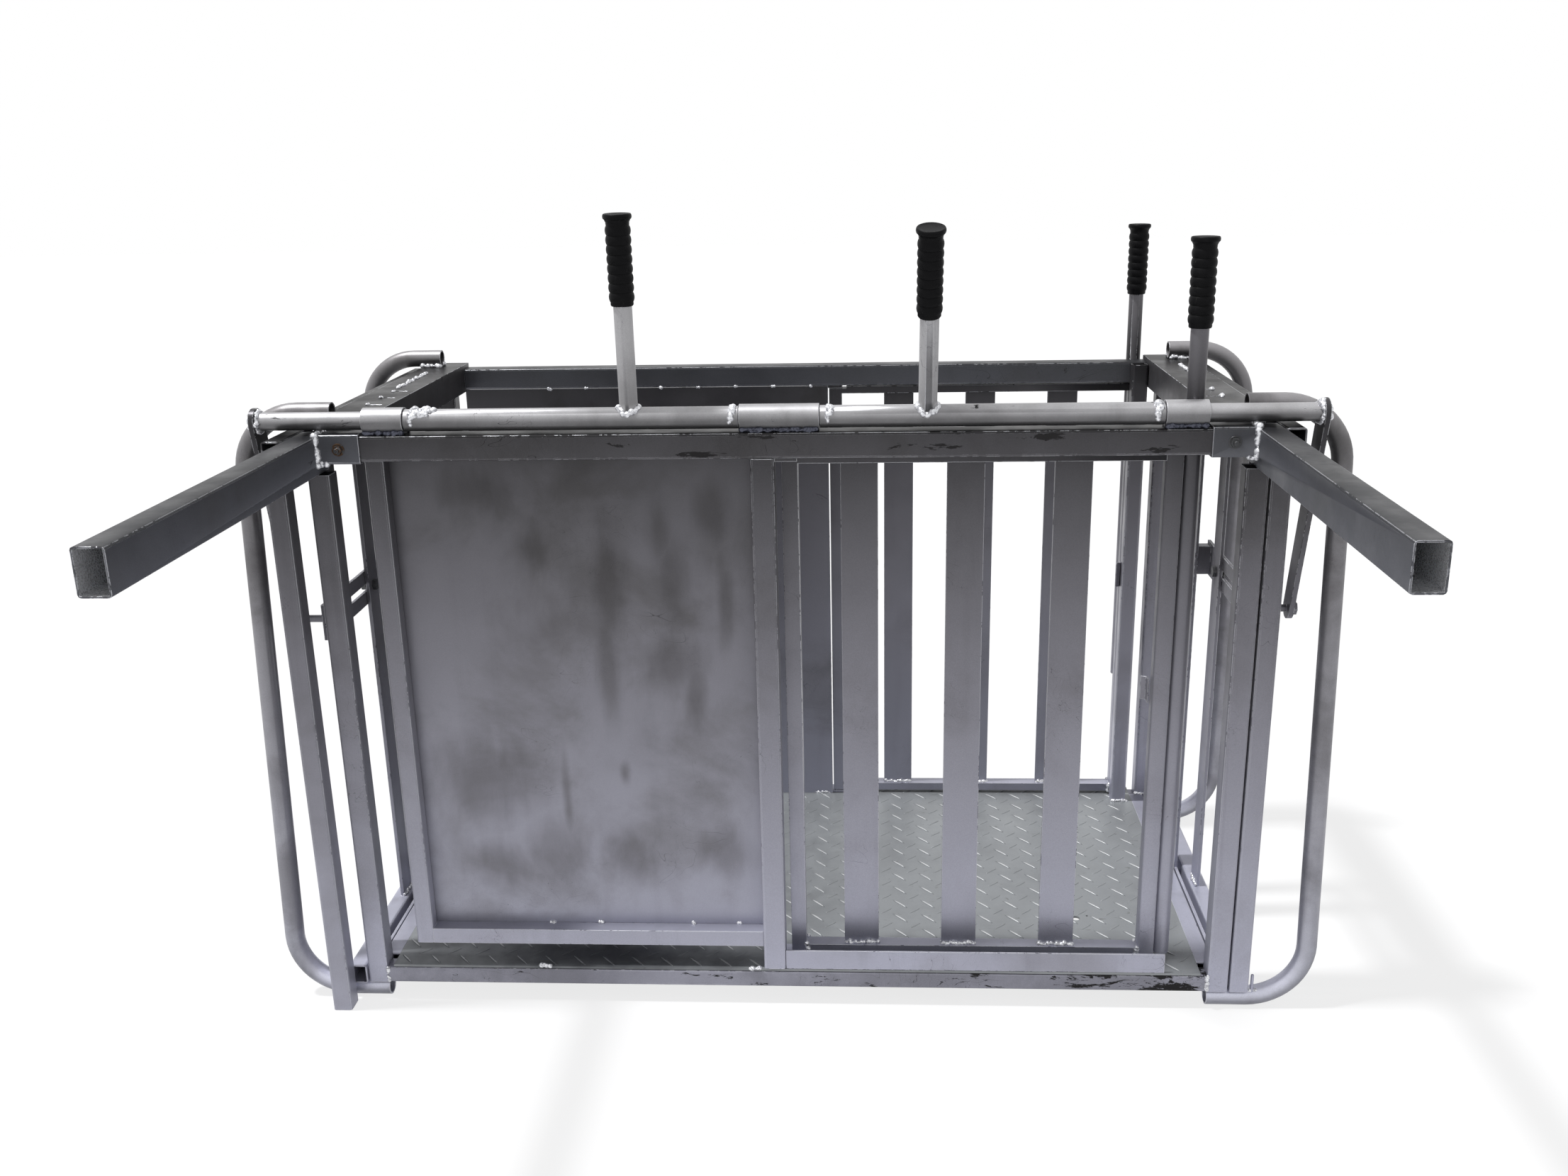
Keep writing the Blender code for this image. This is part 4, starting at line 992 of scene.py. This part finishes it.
def welds(name, body, look, paths, size, pitch=None, wander=None, seed=1):
    """One piece holding every bead of a kind on one body."""
    mesh = bpy.data.meshes.new(name)
    corners, edges = [], []
    for path in paths:
        first = len(corners)
        corners += [tuple(point) for point in path]
        edges += [(index, index + 1) for index in range(first, len(corners) - 1)]
    mesh.from_pydata(corners, edges, [])
    result = made_by_nodes(name, mesh, BEADS, {"Pitch": pitch or size * 0.9, "Size": size, "Seed": seed,
                                               "Wander": size * 0.35 if wander is None else wander,
                                               "Material": look})
    print(f"{name}: {len(paths)} beads, {len(result.polygons)} faces")
    return own_piece(name, result, body)


def dot(*spot):
    """A path only long enough for one blob."""
    return [Vector(spot), Vector(spot) + Vector((0.003, 0, 0))]


def line(start, end):
    return [Vector(start), Vector(end)]


def ring(centre, across, upward, radius, start=0.0, end=360.0, steps=20):
    """A path round a tube, in the plane of two directions."""
    angles = [math.radians(start + (end - start) * step / steps) for step in range(steps + 1)]
    return [centre + across * radius * math.cos(angle) + upward * radius * math.sin(angle)
            for angle in angles]


# %% [markdown]
# ### Where the welds are
# Arms are welded to their sleeves, hoops to the end angles, bearings to the front rail, posts and slats to
# the rails they stand on. The sheets are only tacked, so they show single dots.

# %% Welds on the frame
X_AXIS, Y_AXIS, Z_AXIS = Vector((1, 0, 0)), Vector((0, 1, 0)), Vector((0, 0, 1))
PANEL_CHANNEL, GATE_CHANNEL = 0.027, 0.016    # height of the lowest rail of the panel and of a gate
BEAD_OFFSET = 0.0125                          # from the middle of a tube or channel out to the beads along it


def arm_welds(side):
    """The seam between arm and sleeve, over the top of the sleeve and a little way under it."""
    inner = side * 0.7062
    face, sleeve_low, sleeve_top = FRONT - 0.0035, TOP - 0.0425, TOP + 0.0025
    seam = line((inner, face, sleeve_low), (inner, face, sleeve_top))
    over = line((inner, face, sleeve_top), (inner, FRONT + 0.030, sleeve_top))
    under = line((inner, face + 0.002, sleeve_low), (inner - side * 0.012, face + 0.003, sleeve_low - 0.001))
    return [seam, over, under]


def hoop_end_welds(end, side, row):
    low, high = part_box(f"{end}_{row}_hoop")
    radius = HOOP_TUBE / 2
    middle = high.y - radius if row == "front" else low.y + radius
    inner, outer = 0.708, 0.741
    return [line((side * inner, middle + offset, ANGLE_TOP + 0.003),
                 (side * outer, middle + offset, ANGLE_TOP + 0.003))
            for offset in (-BEAD_OFFSET, BEAD_OFFSET)]


def angle_welds(side):
    """Dots at the outer ends of the three slots, and the stitches further back."""
    slots, pitch, slot_end = FRONT + 0.235, 0.068, side * 0.706
    paths = [line((slot_end, slots + pitch * number - 0.004, ANGLE_TOP + 0.0005),
                  (slot_end, slots + pitch * number + 0.004, ANGLE_TOP + 0.0005)) for number in range(3)]
    stitch, gap = 0.016, 0.011
    spot = slots + 2.5 * pitch
    while spot + stitch < BACK - 0.12:
        paths.append(line((slot_end + side * 0.004, spot, ANGLE_TOP),
                          (slot_end + side * 0.004, spot + stitch, ANGLE_TOP)))
        spot += stitch + gap
    return paths


def post_welds(end, side):
    """Beads where the corner posts meet the floor rail and the sills."""
    low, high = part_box(f"{end}_front_inner_post")
    inner = min(abs(low.x), abs(high.x)) * side
    back_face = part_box(f"{end}_back_inner_post")[0].y
    sill_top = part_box(f"{end}_inner_sill")[1].z
    paths = [line((inner, FRONT + 0.0005, UNDER + 0.002), (inner, FRONT + 0.0005, UNDER + 0.029)),
             line((inner, back_face, UNDER + 0.036), (inner + side * 0.03, back_face, UNDER + 0.036))]
    bar_near = side * 0.7365
    points = [vertex.co for vertex in frame["nodes"][f"{end}_outer_sill"].data.vertices]
    foot = [point.y for point in points if point.z > sill_top + 0.2]
    paths.append(line((bar_near, min(foot) + 0.003, sill_top + 0.002),
                      (bar_near, max(foot) - 0.003, sill_top + 0.002)))
    return paths


def panel_welds():
    """Tacks of the sheets and the floor plate, and the feet of the posts that stand on the plate."""
    rail_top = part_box("front_panel_frame")[0].z + PANEL_CHANNEL
    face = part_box("front_sheet")[0].y - 0.0005
    paths = [dot(x, face, rail_top + 0.001) for x in (-0.409, -0.325, -0.167, -0.089)]
    rail_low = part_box("back_top_rail")[0]
    count, start, pitch = 8, -0.50, 0.074
    paths += [dot(start + pitch * number, rail_low.y + 0.001, rail_low.z) for number in range(count)]
    paths += [line((x - 0.009, PLATE_LOW.y + 0.001, PLATE_HIGH.z),
                   (x + 0.009, PLATE_LOW.y + 0.001, PLATE_HIGH.z))
              for x in (-0.419, -0.061)]
    for node in ("keeper_post", "back_centre_post", "front_centre_post"):
        low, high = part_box(node)
        face = low.y if node != "front_centre_post" else high.y
        paths.append(line((low.x + 0.003, face, PLATE_HIGH.z + 0.001),
                          (low.x + 0.032, face, PLATE_HIGH.z + 0.001)))
    return paths


beads, dots, saddles = [], panel_welds(), []
for end, side in SIDES.items():
    beads += arm_welds(side) + hoop_end_welds(end, side, "front") + hoop_end_welds(end, side, "back")
    dots += angle_welds(side) + post_welds(end, side)
for node in ("left_bearing", "centre_bearing", "right_bearing"):
    low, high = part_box(node)
    for offset in (-BEAD_OFFSET, BEAD_OFFSET):
        saddles.append(line((low.x + 0.004, SHAFT_Y + offset, TOP + 0.003),
                            (high.x - 0.004, SHAFT_Y + offset, TOP + 0.003)))
welds("frame_beads", "frame", WELD, beads, 0.0052, wander=0.0016, seed=3)
welds("frame_tacks", "frame", WELD, dots, 0.0036, seed=5)
welds("bearing_saddles", "frame", BLUED, saddles, 0.0052, wander=0.0008, seed=7)


# %% Welds that move with the levers
def lever_welds(end, side):
    """Collar of weld round the stem's foot, plugs beside the bearings, and rings at the shaft's end."""
    foot, axis = GRIP_AXES[f"{end}_grip"]
    sideways = axis.cross(X_AXIS)
    stem, tube = 0.0150, 0.0172
    collar = []
    for step in range(25):
        angle = 2 * math.pi * step / 24
        across, along = stem * math.sin(angle), stem * math.cos(angle)
        collar.append(foot + X_AXIS * along + sideways * across + axis * math.sqrt(tube ** 2 - across ** 2))
    tube_low, tube_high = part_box(f"{end}_handle_tube")
    shaft_low, shaft_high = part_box(f"{end}_shaft")
    plugs = []
    for x in (tube_low.x + 0.012, tube_high.x - 0.012):
        centre = Vector((x, SHAFT_Y, SHAFT_Z))
        plugs.append(ring(centre, Y_AXIS, Z_AXIS, tube - 0.0010, 95, 195, 8))
        plugs.append(ring(centre + X_AXIS * 0.005, Y_AXIS, Z_AXIS, tube - 0.0010, 100, 150, 4))
        for angle in (104, 122, 140) if x < -0.5 else ():
            turn = math.radians(angle)
            start = centre + (Y_AXIS * math.cos(turn) + Z_AXIS * math.sin(turn)) * (tube - 0.0008)
            plugs.append(line(start, start + X_AXIS * (0.034 - 0.00022 * (angle - 104) ** 1.05)))
    shaft_end = side * max(abs(shaft_low.x), abs(shaft_high.x))
    centre = Vector((shaft_end - side * 0.001, SHAFT_Y, SHAFT_Z))
    ends = [ring(centre, Y_AXIS, Z_AXIS, 0.0150),
            ring(centre + X_AXIS * side * 0.0095, Y_AXIS, Z_AXIS, 0.0120)]
    return [collar] + plugs + ends


for end, side in SIDES.items():
    welds(f"{end}_lever_welds", f"{end}_lever", WELD, lever_welds(end, side), 0.0048, wander=0.0014, seed=11)


# %% Welds on the gates
SLAT_BEAD, STILE_BEADS = 0.026, (0.026, 0.582)    # half a slat's bead, and where the stiles stand on the rail


def slat_edges(node):
    """Top of the gate's bottom rail, left and right x of each slat, and the gate's left edge."""
    rail_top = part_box(node)[0].z + GATE_CHANNEL
    centres = {"front_gate": (0.119, 0.283, 0.447), "back_gate": (0.192, 0.352, 0.512)}[node]
    hinge_x = {"front_gate": 0.0, "back_gate": 0.055}[node]
    return rail_top, [(x - SLAT_BEAD, x + SLAT_BEAD) for x in centres], hinge_x


def gate_welds(node, hinge_y):
    rail_top, slats, left = slat_edges(node)
    paths = []
    for start, end in slats:
        for face in (-0.0035, 0.0035):
            paths.append(line((start, hinge_y + face, rail_top), (end, hinge_y + face, rail_top)))
    for x in (left + reach for reach in STILE_BEADS):
        for face in (hinge_y - BEAD_OFFSET, hinge_y + BEAD_OFFSET):
            paths.append(line((x, face, rail_top - 0.014), (x, face, rail_top)))
    return paths


welds("front_gate_welds", "front_side_gate", WELD, gate_welds("front_gate", FRONT + 0.0555), 0.0050, seed=17)
welds("back_gate_welds", "back_side_gate", WELD, gate_welds("back_gate", BACK - 0.020), 0.0050, seed=19)

# %% [markdown]
# ## Small hardware
# Bolts show a washer and the end of their thread. The free stiles carry a small folded hook plate, and a
# short pin stands on the right front hoop's foot. Each is a little mesh with softened edges.

# %% Folded hook plates, pin and washers
def softened(work, name, body, look, width=0.0004):
    mesh = bpy.data.meshes.new(name)
    bmesh.ops.recalc_face_normals(work, faces=work.faces)
    work.to_mesh(mesh)
    work.free()
    made = own_piece(name, mesh, body, look)
    edge = made.modifiers.new("edge", "BEVEL")
    edge.width, edge.segments, edge.limit_method = width, 2, "ANGLE"
    smooth_mesh(mesh, 40.0)
    return made


def folded_plate(name, body, outline, low, high, look):
    """A strip with a folded section in plan, extruded upwards."""
    work = bmesh.new()
    lower = [work.verts.new((x, y, low)) for x, y in outline]
    face = work.faces.new(lower)
    lifted = bmesh.ops.extrude_face_region(work, geom=[face])["geom"]
    bmesh.ops.translate(work, verts=[item for item in lifted if isinstance(item, bmesh.types.BMVert)],
                        vec=(0, 0, high - low))
    return softened(work, name, body, look)


def hook_outline(corner, inward, back):
    """Plan of a hook plate: flat on the stile's side, then folded inward with a short lip."""
    x, y = corner
    thick, leg, lip = 0.0022, 0.016, 0.008
    return [(x, y), (x, y + back * leg), (x + inward * lip, y + back * (leg + 0.003)),
            (x + inward * lip, y + back * (leg + 0.003 + thick)),
            (x + inward * -thick * 0.2, y + back * (leg + thick)),
            (x + inward * -thick, y + back * leg * 0.9), (x + inward * -thick, y)]


folded_plate("front_gate_hook", "front_side_gate", hook_outline((0.580, FRONT + 0.0665), -1, 1), UNDER + 0.49,
             UNDER + 0.53, GATE)
folded_plate("back_gate_hook", "back_side_gate", hook_outline((0.635, BACK - 0.0330), -1, -1), UNDER + 0.50,
             UNDER + 0.55, GATE)


def disc(name, body, centre, axis_name, radius, thick, look, sides=28):
    work = bmesh.new()
    bmesh.ops.create_cone(work, cap_ends=True, segments=sides, radius1=radius, radius2=radius, depth=thick)
    turn = {"X": Matrix.Rotation(math.pi / 2, 4, "Y"), "Y": Matrix.Rotation(math.pi / 2, 4, "X"),
            "Z": Matrix.Identity(4)}[axis_name]
    bmesh.ops.transform(work, matrix=Matrix.Translation(centre) @ turn, verts=work.verts)
    return softened(work, name, body, look, thick * 0.25)


for end, side in SIDES.items():
    bolt_low, bolt_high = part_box(f"{end}_sleeve_bolt")
    middle = (bolt_low + bolt_high) / 2
    look = RUSTY if end == "left" else ZINC
    disc(f"{end}_sleeve_washer", "frame", Vector((middle.x, FRONT - 0.0036, middle.z)), "Y", 0.0098, 0.0012,
         look)
    disc(f"{end}_bolt_tip", "frame", Vector((middle.x, bolt_low.y - 0.0012, middle.z)), "Y", 0.0038, 0.0030,
         look, 16)
pin_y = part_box("right_front_hoop")[0].y + 0.006
disc("hoop_pin", "frame", Vector((0.768, pin_y, HOOP_TUBE + 0.013)), "Z", 0.0026, 0.034, STEEL, 16)
pin_bead = line((0.762, pin_y, HOOP_TUBE), (0.776, pin_y, HOOP_TUBE))
welds("hoop_pin_weld", "frame", WELD, [pin_bead], 0.0032, seed=23)
